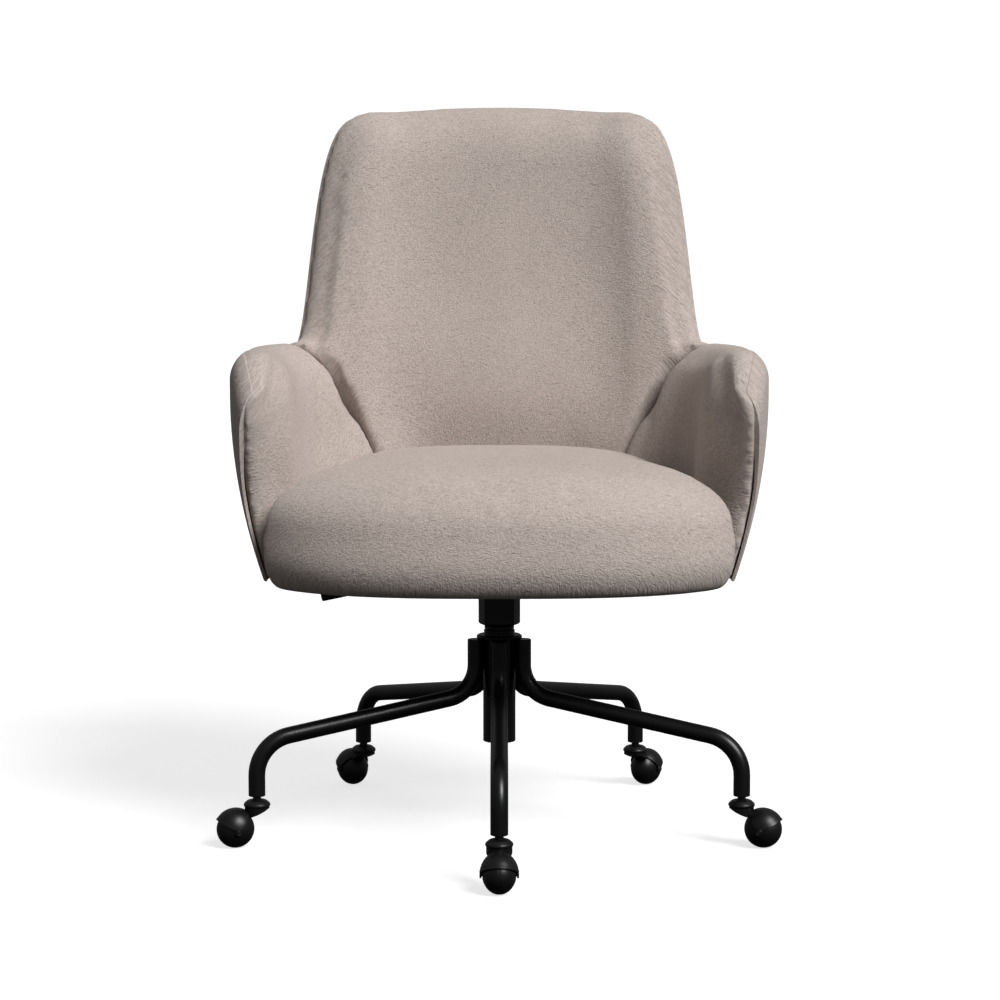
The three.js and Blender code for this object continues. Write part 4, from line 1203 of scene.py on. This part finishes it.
def pad_freedom(points):
    """Pads swell on their inner face and not against the outer cover or under the seat."""
    inward = smooth_step(12 * MM, 76 * MM, depth_in_tub(points))
    return inward * smooth_step(400 * MM, 500 * MM, points[:, 2])


def arm_weave(side):
    """The arms' cloth is cut on a slant. Its pattern turns over the rim and round the front edge."""
    tilt = math.radians(32)

    def cloth_place(points):
        angle = np.abs(np.arctan2(points[:, 0], points[:, 1] - TUB_Y))
        turned_over = wall_thickness(angle) - depth_in_tub(points)
        at_rim = smooth_step(-90 * MM, -45 * MM, points[:, 2] - rim_height(angle))
        at_nose = smooth_step(math.radians(103), math.radians(109), angle) * (1 - at_rim)
        along = angle * PLAN_REACH + 0.6 * turned_over * at_nose
        up = points[:, 2] + turned_over * at_rim
        return np.stack([along * math.cos(tilt) - up * math.sin(tilt) + 2 * side,
                         along * math.sin(tilt) + up * math.cos(tilt), 0 * up], axis=1)
    return cloth_place


padded_piece("back_cushion", back_shape(), "back_pad", BACK_PLUMP, pad_freedom, around_tub)
for side, hand in ((-1, "left"), (1, "right")):
    padded_piece(f"{hand}_arm_cushion", arm_shape(side), f"{hand}_arm_pad", ARM_PLUMP, pad_freedom,
                 arm_weave(side))
outer_cover = add_piece("outer_cover", shell_shape(), weave, "seat", ["outer_shell"])
lay_weave(outer_cover, around_tub)
print("back, arms and outer cover are in place")

# %% [markdown]
# ## Seat cushion
# The seat fills the tub between the arms and spreads in front of them in two ears. It is crowned, its front
# edge is the roundest, and it is flat only on its board. Its plan follows the arms' inner faces and then a
# wide superellipse, and its section is a quarter round below and a fuller quarter above.

# %% Seat cushion
SEAT_LOW = bottom("seat_cushion") - 2 * MM
SEAT_WIDEST, SEAT_CROWN = 402 * MM, top("seat_cushion")
EAR_HALF_WIDTH, EAR_FRONT, EAR_POWER = 355 * MM, 295 * MM, 2.6
EAR_START, EAR_FULL = math.radians(116.5), math.radians(121)
LOWER_ROUND = 30 * MM
SEAT_FULLNESS = 0.62
SEAT_GAP = 1.5 * MM


def seat_reach(turn, height):
    between = tub_reach(turn, height) - wall_thickness(turn) - SEAT_GAP
    side_part = (np.abs(np.sin(turn)) / EAR_HALF_WIDTH) ** EAR_POWER
    front_part = (np.abs(np.cos(turn)) / EAR_FRONT) ** EAR_POWER
    free = (side_part + front_part) ** (-1 / EAR_POWER)
    return between + (free - between) * smooth_step(EAR_START, EAR_FULL, turn)


def seat_shape():
    turns = 240
    angle = np.linspace(-math.pi, math.pi, turns, endpoint=False)
    levels = []
    for share in np.linspace(0.02, 1, 12):
        levels.append((share, LOWER_ROUND, SEAT_LOW))
    for swing in np.linspace(0, math.pi / 2, 14)[1:]:
        inset = LOWER_ROUND * (1 - math.sin(swing))
        levels.append((1, inset, SEAT_LOW + (SEAT_WIDEST - SEAT_LOW) * (1 - math.cos(swing))))
    for swing in np.linspace(0, math.pi / 2, 44)[1:-1]:
        share = math.cos(swing) ** SEAT_FULLNESS
        levels.append((share, 0, SEAT_WIDEST + (SEAT_CROWN - SEAT_WIDEST) * math.sin(swing) ** SEAT_FULLNESS))
    points = []
    for share, inset, height in levels:
        reach = (seat_reach(np.abs(angle), np.full(turns, height)) - inset) * share
        points += np.stack([reach * np.sin(angle), TUB_Y + reach * np.cos(angle),
                            np.full(turns, height)], axis=1).tolist()
    faces = grid_faces(len(levels), turns, wrap=True)
    low_pole, high_pole = len(points), len(points) + 1
    points += [[0, TUB_Y, SEAT_LOW], [0, TUB_Y, SEAT_CROWN]]
    last = (len(levels) - 1) * turns
    for index in range(turns):
        beside = (index + 1) % turns
        faces.append((beside, index, low_pole))
        faces.append((last + index, last + beside, high_pole))
    return points, faces


def seat_freedom(points):
    above = smooth_step(372 * MM, 430 * MM, points[:, 2])
    turn = np.abs(np.arctan2(points[:, 0], points[:, 1] - TUB_Y))
    reach = np.hypot(points[:, 0], points[:, 1] - TUB_Y)
    beside_arm = smooth_step(40 * MM, 8 * MM, seat_reach(turn, points[:, 2]) - reach)
    return above * (1 - beside_arm * (turn < EAR_START))


def seat_weave(points):
    return np.stack([points[:, 0], points[:, 1] + points[:, 2], 0 * points[:, 0]], axis=1)


padded_piece("seat_pad", seat_shape(), "seat_cushion", SEAT_PLUMP, seat_freedom, seat_weave)
print("seat crown at", round(SEAT_CROWN, 3))
